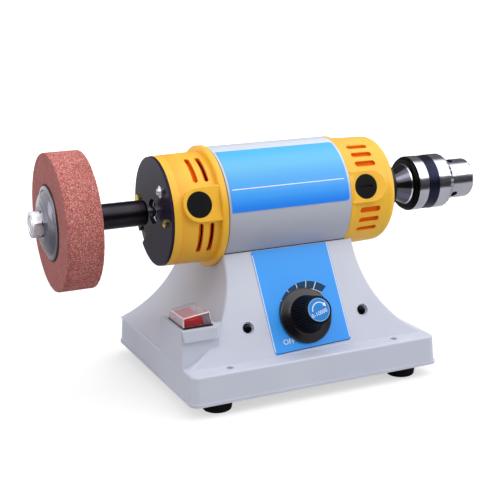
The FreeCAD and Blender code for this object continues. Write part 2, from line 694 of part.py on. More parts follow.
def rocker_half_y():
    """Half length of the rocker, inside its pocket."""
    return SWITCH_BODY_Y / 2 - SWITCH_WALL - SIDE_GAP


def switch_rocker():
    """Rocker with two pins, tipped to its left as stored."""
    z = pivot_z()
    half = rocker_half_y()
    b, t = ROCKER_BASE_X / 2, ROCKER_TOP_X / 2
    outline = [V(-b, -half, 0), V(-t, -half, ROCKER_H), V(0, -half, ROCKER_H - 0.7), V(t, -half, ROCKER_H),
               V(b, -half, 0), V(b * 0.6, -half, -5.0), V(-b * 0.6, -half, -5.0)]
    rocker = face_of(outline).extrude(V(0, 2 * half, 0))
    pins = round_bar(ROCKER_PIN_R, V(0, -half - SIDE_GAP - ROCKER_PIN_L, 0),
                     V(0, half + SIDE_GAP + ROCKER_PIN_L, 0))
    rocker = fuse([rocker, pins])
    rocker.rotate(V(0, 0, 0), Y_AXIS, -ROCKER_TILT)
    rocker.translate(V(SWITCH_X + SWITCH_BODY_OFF, SWITCH_Y, z))
    return rocker


def switch_cover():
    """Clear splash cover: a thin tapered box, higher at its right and its front."""
    z0 = BOX_TOP_Z + BEZEL_T

    def shape(inset):
        x0, x1 = SWITCH_X - COVER_X / 2 + inset, SWITCH_X + COVER_X / 2 - inset
        y0, y1 = SWITCH_Y - COVER_Y / 2 + inset, SWITCH_Y + COVER_Y / 2 - inset
        base = z0 - (1.0 if inset else 0.0)
        left, right = z0 + COVER_H_LEFT - inset, z0 + COVER_H_RIGHT - inset
        low = face_of([V(x0, y0, base), V(x1, y0, base), V(x1, y1, base), V(x0, y1, base)]).OuterWire
        x0, x1 = x0 + COVER_TAPER_LEFT, x1 - COVER_TAPER_RIGHT
        y0, y1 = y0 + COVER_TAPER, y1 - COVER_TAPER
        top = face_of([V(x0, y0, left), V(x1, y0, right), V(x1, y1, right - COVER_FALL),
                       V(x0, y1, left - COVER_FALL)]).OuterWire
        return loft([low, top])
    outer = shape(0.0)
    ribs = [e for e in outer.Edges if e.BoundBox.ZMax > z0 + 1]
    outer = outer.makeFillet(0.9, ribs)
    return outer.cut(shape(COVER_WALL))


# ================================================================ cord entry and board
GLAND_R = 6.0
GLAND_BORE_R = 3.2
GLAND_X = 58.0
GLAND_UP = 16.0


def gland_place():
    """Point on the leaning rear wall and the wall's outward normal."""
    rise = V(0, -math.sin(LEAN), math.cos(LEAN))
    normal = V(0, math.cos(LEAN), math.sin(LEAN))
    return V(GLAND_X, REAR_FOOT_Y, SLAB_TOP) + rise * GLAND_UP, normal


def cord_gland():
    """Strain relief in the rear wall, where the mains lead enters."""
    start, normal = gland_place()
    wall = SHELL_WALL
    outline = [(-wall - 3, GLAND_BORE_R), (-wall - 3, GLAND_R - 0.8), (-wall, GLAND_R), (0, GLAND_R),
               (0, GLAND_R + 2.2),
               (2.0, GLAND_R + 2.2), (2.6, GLAND_R - 0.4), (7.4, GLAND_R - 1.8), (7.4, GLAND_BORE_R)]
    solid = face_of([V(r, 0, h) for h, r in outline]).revolve(V(0, 0, 0), Z_AXIS, 360)
    solid.Placement = FreeCAD.Placement(start, FreeCAD.Rotation(Z_AXIS, normal))
    return solid


def control_board():
    """Speed control board on the base plate, with its heat sink, capacitor and choke."""
    z0 = FOOT_H + BASE_PLATE_T
    pillars = [Part.makeCylinder(3.0, 6.0, V(x, y, z0)) for x in (-28, 28) for y in (6, 42)]
    board = block(-34, 34, 0, 48, z0 + 6.0, z0 + 7.6)
    sink = block(-26, -6, 34, 40, z0 + 7.6, z0 + 30)
    capacitor = Part.makeCylinder(7.0, 20, V(14, 14, z0 + 7.6))
    choke = Part.makeCylinder(9.0, 10, V(-16, 16, z0 + 7.6))
    terminals = block(6, 30, 34, 44, z0 + 7.6, z0 + 18)
    return fuse([board] + pillars + [sink, capacitor, choke, terminals])


# ================================================================ motor housing
def motor_tube():
    """Tube between the caps, with holes for the saddle screws."""
    tube = x_ring(TUBE_R, TUBE_R - TUBE_WALL, TUBE_X0, TUBE_X1)
    return tube.cut([saddle_screw_bar(SADDLE_SCREW_R + SEAT_GAP, x, side, -2, 10)
                     for x in (-SADDLE_SCREW_X, SADDLE_SCREW_X) for side in (-1, 1)])


def saddle_turn(side):
    """Turn of a saddle screw from the top: a little inside the saddle's front rim, mirrored at the rear."""
    rim = math.degrees(math.acos((AXIS_Z - rim_height(FRONT_FOOT_Y)) / SADDLE_R))
    return 180 + side * (rim - SADDLE_SCREW_IN)


def saddle_screw_bar(radius, x, side, inner, outer):
    """Cylinder square to the tube, under it, from one depth to another."""
    bar = round_bar(radius, V(x, 0, AXIS_Z + TUBE_R - TUBE_WALL + inner), V(x, 0, AXIS_Z + TUBE_R + outer))
    return turned(bar, saddle_turn(side))


def saddle_screws():
    """Screws that hold the tube down, put in from inside the base."""
    seat = SEAT_GAP + SHELL_WALL
    screws = []
    for x in (-SADDLE_SCREW_X, SADDLE_SCREW_X):
        for side in (-1, 1):
            shank = saddle_screw_bar(SADDLE_SCREW_R, x, side, -1.5, seat + 0.5)
            head = saddle_screw_bar(3.6, x, side, TUBE_WALL + seat, seat + 2.6)
            screws.append(fuse([shank, head]))
    return Part.makeCompound(screws)


def motor_label():
    """Printed film wrapped on the tube's upper front."""
    x0, x1 = TUBE_X0 + LABEL_OUT[0], TUBE_X1 - LABEL_OUT[1]
    low = AXIS_Z + TUBE_R + FILM_GAP
    face = face_of([V(x0, 0, low), V(x1, 0, low), V(x1, 0, low + LABEL_T), V(x0, 0, low + LABEL_T)])
    face.rotate(V(0, 0, AXIS_Z), X_AXIS, LABEL_TURNS[0])
    return face.revolve(V(0, 0, AXIS_Z), X_AXIS, LABEL_TURNS[1] - LABEL_TURNS[0])


def cap_pad(half_width, tube_x, end_out, side):
    """D-shaped flat pad over a plug, its round end away from the tube."""
    centre_x = tube_x + side * (end_out - half_width)
    low = AXIS_Z + CAP_R - CAP_WALL - 4
    top = AXIS_Z + PAD_FLAT
    disc = Part.makeCylinder(half_width, top - low, V(centre_x, 0, low))
    x0, x1 = sorted((tube_x + side * 0.5, centre_x))
    bar = block(x0, x1, -half_width, half_width, low, top)
    pad = fuse([disc, bar])
    rim = edges_between(pad, lambda p: abs(p.z - top) < 1e-3)
    return pad.makeFillet(0.9, rim)


def ring_slot(x, turn0, turn1):
    """Slot across the axis with round ends, through a cap's wall."""
    low, high = AXIS_Z + CAP_R - 8, AXIS_Z + CAP_R + 8
    w = RING_SLOT_W / 2
    face = face_of([V(x - w, 0, low), V(x + w, 0, low), V(x + w, 0, high), V(x - w, 0, high)])
    face.rotate(V(0, 0, AXIS_Z), X_AXIS, turn0)
    slot = face.revolve(V(0, 0, AXIS_Z), X_AXIS, turn1 - turn0)
    ends = [turned(round_bar(w, V(x, 0, low), V(x, 0, high)), t) for t in (turn0, turn1)]
    return [slot] + ends


def bar_slot(x0, x1, turn):
    """Slot along the axis with round ends, through a cap's wall."""
    low, high = AXIS_Z + CAP_R - 8, AXIS_Z + CAP_R + 8
    w = BAR_SLOT_W / 2
    tools = [block(x0 + w, x1 - w, -w, w, low, high)]
    tools += [round_bar(w, V(x, 0, low), V(x, 0, high)) for x in (x0 + w, x1 - w)]
    return [turned(t, turn) for t in tools]


def left_end_cap():
    """Left cap: tapered drum, collar, spigot, spoked end wall and bearing hub."""
    x0, x1 = LEFT_CAP_X, TUBE_X0
    collar_x = x1 - COLLAR_L
    form = spin([(x0, 0), (x0, LEFT_CAP_END_R), (collar_x, CAP_R), (collar_x, COLLAR_R - 0.8),
                 (collar_x + 0.8, COLLAR_R),
                 (x1, COLLAR_R), (x1, TUBE_R - TUBE_WALL - SEAT_GAP),
                 (x1 + SPIGOT_L, TUBE_R - TUBE_WALL - SEAT_GAP),
                 (x1 + SPIGOT_L, 0)])
    pads = [turned(cap_pad(LEFT_PAD_HALF, x1, LEFT_PAD_END, -1), BRUSH_TURN + t) for t in (0, 180)]
    form = fuse([form] + pads)
    wall_x = x0 + CAP_WALL
    inner = CAP_R - CAP_WALL
    hub_end = x0 + 1 + BEARING_L + HUB_LIP
    well = spin([(wall_x, HUB_R), (wall_x, inner - 1), (wall_x + 1, inner), (x1 + SPIGOT_L + 1, inner),
                 (x1 + SPIGOT_L + 1, 0), (hub_end, 0), (hub_end, HUB_R)])
    seat = spin([(x0 - 1, 0), (x0 - 1, BEARING_R), (hub_end - HUB_LIP, BEARING_R),
                 (hub_end - HUB_LIP, BEARING_R - 2),
                 (hub_end + 1, BEARING_R - 2), (hub_end + 1, 0)])
    tools = [well, seat]
    for flip in (0, 180):
        for out in RING_SLOT_OUT:
            for a0, a1 in RING_SLOT_ARCS:
                tools += ring_slot(x1 - out, BRUSH_TURN + a0 + flip, BRUSH_TURN + a1 + flip)
        tools.append(turned(round_bar(CAP_PLUG_R - 0.6, V(x1 - LEFT_PLUG_OUT, 0, AXIS_Z + 20),
                                      V(x1 - LEFT_PLUG_OUT, 0, AXIS_Z + 60)), BRUSH_TURN + flip))
        tools.append(turned(round_bar(CAP_PLUG_R + SEAT_GAP, V(x1 - LEFT_PLUG_OUT, 0,
                AXIS_Z + PAD_FLAT - 1.6),
                                      V(x1 - LEFT_PLUG_OUT, 0, AXIS_Z + 60)), BRUSH_TURN + flip))
    for a0, a1 in END_WINDOWS:
        window = face_of([V(x0 - 1, 0, AXIS_Z + HUB_R + 3), V(wall_x + 1, 0, AXIS_Z + HUB_R + 3),
                          V(wall_x + 1, 0, AXIS_Z + inner - 4), V(x0 - 1, 0, AXIS_Z + inner - 4)])
        window = window.revolve(V(0, 0, AXIS_Z), X_AXIS, a1 - a0)
        tools.append(turned(window, a0))
    bosses = [x_bar(3.6, x0, x0 + 7, y, AXIS_Z + z) for y, z in END_SCREWS + (EARTH_SCREW,)]
    skin = spin([(x0, 0), (x0, LEFT_CAP_END_R - 1), (x0 + TIE_BOSS_L, LEFT_CAP_END_R - 1),
                 (x0 + TIE_BOSS_L, 0)])
    bosses += [turned(x_bar(TIE_BOSS_R, x0, x0 + TIE_BOSS_L, 0, AXIS_Z + TIE_BOLT_RING), t).common(skin)
               for t in TIE_TURNS]
    holes = [x_bar(1.6, x0 - 1, x0 + 9, y, AXIS_Z + z) for y, z in END_SCREWS + (EARTH_SCREW,)]
    holes += [turned(x_bar(TIE_BOLT_R + SEAT_GAP, x0 + 1, x1 + 10, 0, AXIS_Z + TIE_BOLT_RING),
                     t) for t in TIE_TURNS]
    return cut(fuse([cut(form, tools)] + bosses), holes)


def right_end_cap():
    """Right cap: flange, drum with a rounded end, bearing hub and brush bosses."""
    x0, x1 = TUBE_X1, RIGHT_CAP_X
    arc = RIGHT_CAP_ROUND
    inner = CAP_R - CAP_WALL
    diag = arc * math.sqrt(0.5)
    form = spin([(x0 - SPIGOT_L, 0), (x0 - SPIGOT_L, TUBE_R - TUBE_WALL - SEAT_GAP),
                 (x0, TUBE_R - TUBE_WALL - SEAT_GAP),
                 (x0, TUBE_R), (x0 + FLANGE_L - 0.8, TUBE_R), (x0 + FLANGE_L, TUBE_R - 0.8),
                 (x0 + FLANGE_L, RIGHT_CAP_TUBE_R),
                 (x1 - arc, CAP_R), ((x1 - arc + diag, CAP_R - arc + diag), (x1, CAP_R - arc)), (x1, 0)])
    pads = [turned(cap_pad(RIGHT_PAD_HALF, x0, RIGHT_PAD_END, 1), BRUSH_TURN + t) for t in (0, 180)]
    form = fuse([form] + pads)
    wall_x = x1 - CAP_WALL
    hub_start = x1 - 1 - BEARING_L - HUB_LIP
    arc_in = arc - CAP_WALL
    diag_in = arc_in * math.sqrt(0.5)
    well = spin([(x0 - SPIGOT_L - 1, 0), (x0 - SPIGOT_L - 1, inner), (wall_x - arc_in, inner),
                 ((wall_x - arc_in + diag_in, inner - arc_in + diag_in), (wall_x, inner - arc_in)),
                 (wall_x, HUB_R), (hub_start, HUB_R), (hub_start, 0)])
    bosses = [turned(round_bar(BRUSH_BOSS_R, V(BRUSH_LINE_X, 0, AXIS_Z + PAD_FLAT - BRUSH_BORE_L - 4),
                             V(BRUSH_LINE_X, 0, AXIS_Z + inner + 1)),
                     BRUSH_TURN + t) for t in (0, 180)]
    form = fuse([cut(form, [well])] + bosses)
    tools = [spin([(hub_start - 1, 0), (hub_start - 1, BEARING_R - 2), (hub_start + HUB_LIP, BEARING_R - 2),
                   (hub_start + HUB_LIP, BEARING_R), (x1 + 1, BEARING_R), (x1 + 1, 0)])]
    for flip in (0, 180):
        for turn in BAR_SLOT_TURNS:
            for side in (-1, 1):
                tools += bar_slot(x0 + BAR_SLOT_OUT[0], x0 + BAR_SLOT_OUT[1], BRUSH_TURN + side * turn + flip)
        cap_bore = round_bar(CAP_PLUG_R + SEAT_GAP, V(BRUSH_LINE_X, 0, AXIS_Z + PAD_FLAT - BRUSH_BORE_L),
                             V(BRUSH_LINE_X, 0, AXIS_Z + PAD_FLAT + 15))
        hx, hy = BRUSH_X / 2 + HOLDER_WALL, BRUSH_T / 2 + HOLDER_WALL
        slot = block(BRUSH_LINE_X - hy, BRUSH_LINE_X + hy, -hx, hx,
                     AXIS_Z + COMMUTATOR_R + 6, AXIS_Z + PAD_FLAT + 15)
        tools += [turned(cap_bore, BRUSH_TURN + flip), turned(slot, BRUSH_TURN + flip)]
    return cut(form, tools)


def end_plate():
    """Dark disc over the left cap's end, with its notch."""
    x0, x1 = LEFT_CAP_X - END_PLATE_T, LEFT_CAP_X
    disc = x_ring(END_PLATE_R, END_PLATE_HOLE_R, x0, x1)
    tools = [x_bar(1.7, x0 - 1, x1 + 1, y, AXIS_Z + z) for y, z in END_SCREWS + (EARTH_SCREW,)]
    notch = block(x0 - 1, x1 + 1, -NOTCH_HALF, NOTCH_HALF, AXIS_Z + NOTCH_R0, AXIS_Z + END_PLATE_R + 5)
    tools.append(turned(notch, NOTCH_TURN))
    return cut(disc, tools)


def end_plate_screws():
    """Brass screws of the end plate."""
    x0 = LEFT_CAP_X - END_PLATE_T
    screws = []
    for y, z in END_SCREWS:
        head = x_bar(2.9, x0 - 1.8, x0, y, AXIS_Z + z)
        slot = block(x0 - 2.5, x0 - 1.1, y - 4, y + 4, AXIS_Z + z - 0.4, AXIS_Z + z + 0.4)
        screws.append(fuse([head.cut(slot), x_bar(1.5, x0, x0 + 8, y, AXIS_Z + z)]))
    return Part.makeCompound(screws)


def earth_screw():
    """Bright cross-head screw with two washers."""
    x0 = LEFT_CAP_X - END_PLATE_T
    y, z = EARTH_SCREW[0], AXIS_Z + EARTH_SCREW[1]
    washer = x_bar(4.4, x0 - 1.2, x0, y, z)
    head = Part.makeCone(3.6, 2.2, 1.8, V(x0 - 1.2, y, z), V(-1, 0, 0))
    cross = [block(x0 - 4, x0 - 2.2, y - 2, y + 2, z - 0.4, z + 0.4),
             block(x0 - 4, x0 - 2.2, y - 0.4, y + 0.4, z - 2, z + 2)]
    return cut(fuse([washer, head, x_bar(1.5, x0, x0 + 8, y, z)]), cross)


def cap_plugs():
    """Plain push-in plugs of the left cap's pads."""
    plugs = []
    x = TUBE_X0 - LEFT_PLUG_OUT
    for flip in (0, 180):
        head = round_bar(CAP_PLUG_R, V(x, 0, AXIS_Z + PAD_FLAT - 1.6), V(x, 0, AXIS_Z + PAD_FLAT + 0.1))
        skirt = round_bar(CAP_PLUG_R - 0.7, V(x, 0, AXIS_Z + CAP_R - CAP_WALL - 3),
                          V(x, 0, AXIS_Z + PAD_FLAT - 1.6))
        hollow = round_bar(CAP_PLUG_R - 2.2, V(x, 0, AXIS_Z + CAP_R - CAP_WALL - 4),
                           V(x, 0, AXIS_Z + PAD_FLAT - 1.6))
        plugs.append(turned(fuse([head, skirt.cut(hollow)]), BRUSH_TURN + flip))
    return Part.makeCompound(plugs)


# ================================================================ brush gear
def brush_caps():
    """Slotted caps that close the brush bores."""
    caps = []
    x = BRUSH_LINE_X
    for flip in (0, 180):
        low, top = AXIS_Z + BRUSH_CAP_LOW, AXIS_Z + PAD_FLAT + 0.2
        cap = round_bar(CAP_PLUG_R, V(x, 0, low), V(x, 0, top))
        rim = edges_between(cap, lambda p: abs(p.z - top) < 1e-3)
        cap = cap.makeChamfer(0.5, [e for e in rim if e.BoundBox.XLength > 1])
        slot = block(x - 5.5, x + 5.5, -0.7, 0.7, top - 1.2, top + 1)
        socket = round_bar(BRUSH_SPRING_R + 0.5, V(x, 0, low - 1), V(x, 0, low + 2))
        caps.append(turned(cap.cut([slot, socket]), BRUSH_TURN + flip))
    return Part.makeCompound(caps)


def brush_box(half_x, half_y, low, high, flip):
    """Bar of a rectangular section along the brush line."""
    bar = block(BRUSH_LINE_X - half_y, BRUSH_LINE_X + half_y, -half_x, half_x, AXIS_Z + low, AXIS_Z + high)
    return turned(bar, BRUSH_TURN + flip)


def brush_holders():
    """Rectangular brass guides of the brushes."""
    holders = []
    hx, hy = BRUSH_X / 2, BRUSH_T / 2
    for flip in (0, 180):
        outer = brush_box(hx + HOLDER_WALL - SEAT_GAP, hy + HOLDER_WALL - SEAT_GAP, COMMUTATOR_R + 1.8,
                          BRUSH_CAP_LOW - 0.2, flip)
        inner = brush_box(hx + SEAT_GAP, hy + SEAT_GAP, COMMUTATOR_R, BRUSH_CAP_LOW + 1, flip)
        holders.append(outer.cut(inner))
    return Part.makeCompound(holders)


def carbon_brushes():
    """Brushes whose ends follow the commutator."""
    drum = x_bar(COMMUTATOR_R + RUN_FIT, BRUSH_LINE_X - 20, BRUSH_LINE_X + 20)
    return Part.makeCompound([brush_box(BRUSH_X / 2, BRUSH_T / 2, COMMUTATOR_R - 1, COMMUTATOR_R + BRUSH_L,
                                        flip).cut(drum)
                              for flip in (0, 180)])


def brush_springs():
    """Coil springs between the brushes and their caps."""
    springs = []
    low = COMMUTATOR_R + BRUSH_L + BRUSH_SPRING_WIRE / 2 + 0.05
    high = BRUSH_CAP_LOW + 2 - BRUSH_SPRING_WIRE / 2 - 0.05
    pitch = (high - low) / BRUSH_SPRING_TURNS
    for flip in (0, 180):
        rings = []
        for i in range(BRUSH_SPRING_TURNS + 1):
            ring = Part.makeTorus(BRUSH_SPRING_R - BRUSH_SPRING_WIRE / 2, BRUSH_SPRING_WIRE / 2,
                                  V(BRUSH_LINE_X, 0, AXIS_Z + low + i * pitch))
            rings.append(ring)
        post = round_bar(BRUSH_SPRING_R - BRUSH_SPRING_WIRE * 0.6,
                         V(BRUSH_LINE_X, 0, AXIS_Z + low - BRUSH_SPRING_WIRE / 2),
                         V(BRUSH_LINE_X, 0, AXIS_Z + high + BRUSH_SPRING_WIRE / 2))
        springs.append(turned(fuse([post] + rings), BRUSH_TURN + flip))
    return Part.makeCompound(springs)


# ================================================================ stator
def stator_core():
    """Laminated ring with two poles."""
    x0, x1 = STATOR_X0, STATOR_X0 + STATOR_L
    outer = TUBE_R - TUBE_WALL - 0.02
    ring = x_ring(outer, outer - STATOR_YOKE, x0, x1)
    poles = []
    for flip in (0, 180):
        face = face_of([V(x0, 0, AXIS_Z + STATOR_POLE_R), V(x1, 0, AXIS_Z + STATOR_POLE_R),
                        V(x1, 0, AXIS_Z + STATOR_POLE_R + 3.0), V(x0, 0, AXIS_Z + STATOR_POLE_R + 3.0)])
        face.rotate(V(0, 0, AXIS_Z), X_AXIS, BRUSH_TURN + 90 + flip - POLE_HALF_TURN)
        shoe = face.revolve(V(0, 0, AXIS_Z), X_AXIS, 2 * POLE_HALF_TURN)
        neck = block(x0, x1, -9, 9, AXIS_Z + STATOR_POLE_R + 1, AXIS_Z + outer - 2)
        poles += [shoe, turned(neck, BRUSH_TURN + 90 + flip)]
    core = fuse([ring] + poles)
    return cut(core, [turned(x_bar(TIE_BOLT_R + SEAT_GAP, x0 - 1, x1 + 1, 0, AXIS_Z + TIE_BOLT_RING),
                             t) for t in TIE_TURNS])


def field_coils():
    """Coil round each pole neck: two straight sides and an end turn past each end."""
    x0, x1 = STATOR_X0, STATOR_X0 + STATOR_L
    low, high = STATOR_POLE_R + 3.2, STATOR_POLE_R + 8.0
    coils = []
    for flip in (0, 180):
        outer = block(x0 - 8, x1 + 8, -16, 16, AXIS_Z + low, AXIS_Z + high)
        corner = [e for e in outer.Edges if e.BoundBox.ZLength > 4 and e.BoundBox.XLength < 0.1]
        outer = outer.makeFillet(6, corner)
        inner = block(x0 - 0.3, x1 + 0.3, -9.3, 9.3, AXIS_Z + low - 1, AXIS_Z + high + 1)
        bore = x_bar(TUBE_R - TUBE_WALL - STATOR_YOKE - 0.3, x0 - 9, x1 + 9)
        shoe = x_bar(STATOR_POLE_R + 3.2, x0 - 9, x1 + 9)
        coils.append(turned(outer.cut(inner), BRUSH_TURN + 90 + flip).common(bore).cut(shoe))
    return Part.makeCompound(coils)


def tie_bolts():
    """Long screws that pull the caps and the stator together."""
    bolts = []
    for t in TIE_TURNS:
        shank = x_bar(TIE_BOLT_R, LEFT_CAP_X + CAP_WALL, STATOR_X0 + STATOR_L + 4, 0, AXIS_Z + TIE_BOLT_RING)
        nut = x_bar(3.4, STATOR_X0 + STATOR_L, STATOR_X0 + STATOR_L + 3, 0, AXIS_Z + TIE_BOLT_RING)
        bolts.append(turned(fuse([shank, nut]), t))
    return Part.makeCompound(bolts)


# ================================================================ bearings and rotor
def bearing_spans():
    """Stations of the two bearings."""
    return {"left": LEFT_CAP_X + 1.0, "right": RIGHT_CAP_X - 1.0 - BEARING_L}


def bearing_outer(side):
    """Outer race with the shields."""
    x0 = bearing_spans()[side]
    x1 = x0 + BEARING_L
    return spin([(x0, BEARING_R - 2.4), (x0, BEARING_R), (x1, BEARING_R), (x1, BEARING_R - 2.4),
                 (x1 - 0.3, BEARING_R - 2.4),
                 (x1 - 0.3, BEARING_INNER_R + RUN_FIT), (x1 - 0.8, BEARING_INNER_R + RUN_FIT),
                 (x1 - 0.8, BEARING_R - 2.4),
                 (x0 + 0.8, BEARING_R - 2.4), (x0 + 0.8, BEARING_INNER_R + RUN_FIT),
                 (x0 + 0.3, BEARING_INNER_R + RUN_FIT),
                 (x0 + 0.3, BEARING_R - 2.4)])


def bearing_inner(side):
    """Inner race on the shaft."""
    x0 = bearing_spans()[side]
    return x_ring(BEARING_INNER_R, SHAFT_END_R, x0, x0 + BEARING_L)


def bearing_cover():
    """Black ring over the right bearing."""
    x0 = RIGHT_CAP_X
    x1 = x0 + BEARING_COVER_L
    bore = ADAPTER_R + SIDE_GAP * 2
    return spin([(x0, bore), (x0, BEARING_COVER_R), (x1 - 1.2, BEARING_COVER_R), (x1, BEARING_COVER_R - 1.2),
                 (x1, ADAPTER_R + 5), (x1 - 2, ADAPTER_R + 4), (x1 - 2, bore)])


def motor_shaft():
    """Stepped shaft from inside the arbor to inside the chuck adapter."""
    spans = bearing_spans()
    left = spans["left"] + BEARING_L
    right = spans["right"]
    a, b = ARBOR_X1 - ARBOR_BORE_L + 1, CHUCK_X0 - 3
    return spin([(a, 0), (a, SHAFT_END_R - 0.5), (a + 0.5, SHAFT_END_R), (left, SHAFT_END_R),
                 (left, SHAFT_MID_R),
                 (right, SHAFT_MID_R), (right, SHAFT_END_R), (b - 0.5, SHAFT_END_R), (b, SHAFT_END_R - 0.5),
                 (b, 0)])


def armature_core():
    """Slotted rotor stack."""
    x0, x1 = STATOR_X0, STATOR_X0 + STATOR_L
    radius = STATOR_POLE_R - ARMATURE_GAP
    core = x_ring(radius, SHAFT_MID_R, x0, x1)
    slots = []
    for i in range(ARMATURE_SLOTS):
        mouth = block(x0 - 1, x1 + 1, -1.2, 1.2, AXIS_Z + radius - 3, AXIS_Z + radius + 1)
        pocket = x_bar(3.0, x0 - 1, x1 + 1, 0, AXIS_Z + radius - 4.6)
        slots += [turned(s, 360.0 * i / ARMATURE_SLOTS) for s in (mouth, pocket)]
    return core.cut(slots)


def armature_winding():
    """End turns at both ends of the stack, joined through its slots."""
    x0, x1 = STATOR_X0, STATOR_X0 + STATOR_L
    radius = STATOR_POLE_R - ARMATURE_GAP
    ends = []
    for x, side in ((x0, -1), (x1, 1)):
        ends.append(spin([(x, SHAFT_MID_R), (x, radius - 1.6), (x + side * 6, radius - 2.6),
                          (x + side * 9, radius - 6),
                          (x + side * 9, SHAFT_MID_R)]))
    bars = [turned(x_bar(2.9, x0, x1, 0, AXIS_Z + radius - 4.6),
                   360.0 * i / ARMATURE_SLOTS) for i in range(ARMATURE_SLOTS)]
    return fuse(ends + bars)


def commutator():
    """Copper drum under the brushes, with its bar gaps."""
    x0 = BRUSH_LINE_X - COMMUTATOR_L / 2
    x1 = x0 + COMMUTATOR_L
    drum = x_ring(COMMUTATOR_R, SHAFT_MID_R, x0, x1)
    riser = x_ring(COMMUTATOR_R + 1.4, COMMUTATOR_R - 2, x0 - 0.2, x0 + 2.4)
    gaps = [turned(block(x0 + 2.6, x1 + 1, -0.2, 0.2, AXIS_Z + COMMUTATOR_R - 0.8,
                         AXIS_Z + COMMUTATOR_R + 2), 360.0 * i / COMMUTATOR_BARS)
            for i in range(COMMUTATOR_BARS)]
    return cut(fuse([drum, riser]), gaps)


def cooling_fan():
    """Radial fan behind the left cap."""
    x0 = TUBE_X0 + SPIGOT_L + 1.0
    x1 = x0 + FAN_L
    hub = x_ring(10.0, SHAFT_MID_R, x0, x1)
    disc = x_ring(FAN_R, 9.0, x1 - 1.5, x1)
    blades = [turned(block(x0, x1 - 1, -0.7, 0.7, AXIS_Z + 9.5, AXIS_Z + FAN_R - 0.5), 360.0 * i / FAN_BLADES)
              for i in range(FAN_BLADES)]
    return fuse([hub, disc] + blades)


# ================================================================ grinding end
def wheel_arbor():
    """Extension rod with a bore for the shaft and a threaded end for the wheel."""
    end = WHEEL_X0 - OUTER_FLANGE_H - WHEEL_NUT_H
    r = ARBOR_END_R
    diag = r * math.sqrt(0.5)
    rod = spin([(end, 0), (end, THREAD_R - 0.8), (end + 0.8, THREAD_R), (ARBOR_X0, THREAD_R),
                (ARBOR_X0, ARBOR_R),
                (ARBOR_X1 - r, ARBOR_R), ((ARBOR_X1 - r + diag, ARBOR_R - r + diag),
                                          (ARBOR_X1, ARBOR_R - r)), (ARBOR_X1, 0)])
    tools = [x_bar(SHAFT_END_R + 0.02, ARBOR_X1 - ARBOR_BORE_L, ARBOR_X1 + 1)]
    tools.append(turned(round_bar(2.5, V(ARBOR_X1 - 9, 0, AXIS_Z), V(ARBOR_X1 - 9, 0, AXIS_Z + 12)), 290))
    return cut(rod, tools)


def arbor_set_screw():
    """Grub screw that locks the arbor on the shaft."""
    x = ARBOR_X1 - 9
    screw = round_bar(2.45, V(x, 0, AXIS_Z + SHAFT_END_R + 0.1), V(x, 0, AXIS_Z + ARBOR_R - 0.4))
    hexagon = hex_prism(2.5, V(x, 0, AXIS_Z + ARBOR_R - 2.4), 3, 0)
    return turned(screw.cut(hexagon), 290)


def hex_prism(across_flats, base, height, start_deg):
    """Hexagonal bar standing on a point."""
    radius = across_flats / math.sqrt(3)
    pts = [base + V(radius * math.cos(math.radians(start_deg + 60 * i)),
                    radius * math.sin(math.radians(start_deg + 60 * i)), 0)
           for i in range(6)]
    return face_of(pts).extrude(V(0, 0, height))


def inner_flange():
    """Flange between the arbor's shoulder and the wheel."""
    x0, x1 = WHEEL_X1, ARBOR_X0
    return spin([(x0, THREAD_R + 0.05), (x0, 16.0), (x0 + 0.6, 16.0), (x0 + 0.6, 18.0), (x0, 18.0),
                 (x0, INNER_FLANGE_R),
                 (x0 + 1.6, INNER_FLANGE_R), (x1, ARBOR_R + 3), (x1, THREAD_R + 0.05)])


def grinding_wheel():
    """Abrasive wheel with broken edges."""
    e = WHEEL_EDGE
    return spin([(WHEEL_X0, THREAD_R + 0.1), (WHEEL_X0, WHEEL_R - e), (WHEEL_X0 + e, WHEEL_R),
                 (WHEEL_X1 - e, WHEEL_R),
                 (WHEEL_X1, WHEEL_R - e), (WHEEL_X1, THREAD_R + 0.1)])


def outer_flange():
    """Dished pressing that clamps the wheel."""
    x = WHEEL_X0
    t = OUTER_FLANGE_T
    h = OUTER_FLANGE_H
    return spin([(x, OUTER_FLANGE_R - 3.4), (x, OUTER_FLANGE_R), (x - t * 0.7, OUTER_FLANGE_R),
                 (x - t, OUTER_FLANGE_R - 1.5),
                 ((x - h * 0.55, OUTER_FLANGE_R - 5.4), (x - h + 1.6, 18.0)),
                 ((x - h + 0.5, 14.6), (x - h, 12.4)), (x - h, THREAD_R + 0.05),
                 (x - h + t, THREAD_R + 0.05), (x - h + t, 12.0), (x - h + 1.6 + t, 17.2)])


def wheel_nut():
    """Chamfered hexagon nut."""
    x1 = WHEEL_X0 - OUTER_FLANGE_H
    x0 = x1 - WHEEL_NUT_H
    radius = WHEEL_NUT_AF / math.sqrt(3)
    pts = [V(x0, -radius * math.sin(math.radians(WHEEL_NUT_TURN + 60 * i)),
             AXIS_Z + radius * math.cos(math.radians(WHEEL_NUT_TURN + 60 * i))) for i in range(6)]
    prism = face_of(pts).extrude(V(x1 - x0, 0, 0))
    flat = WHEEL_NUT_AF / 2
    cone = spin([(x0, 0), (x0, flat - 0.4), (x0 + 1.4, radius + 0.2), (x1 - 0.7, radius + 0.2),
                 (x1, flat + 0.4), (x1, 0)])
    return prism.common(cone).cut(x_bar(THREAD_R, x0 - 1, x1 + 1))


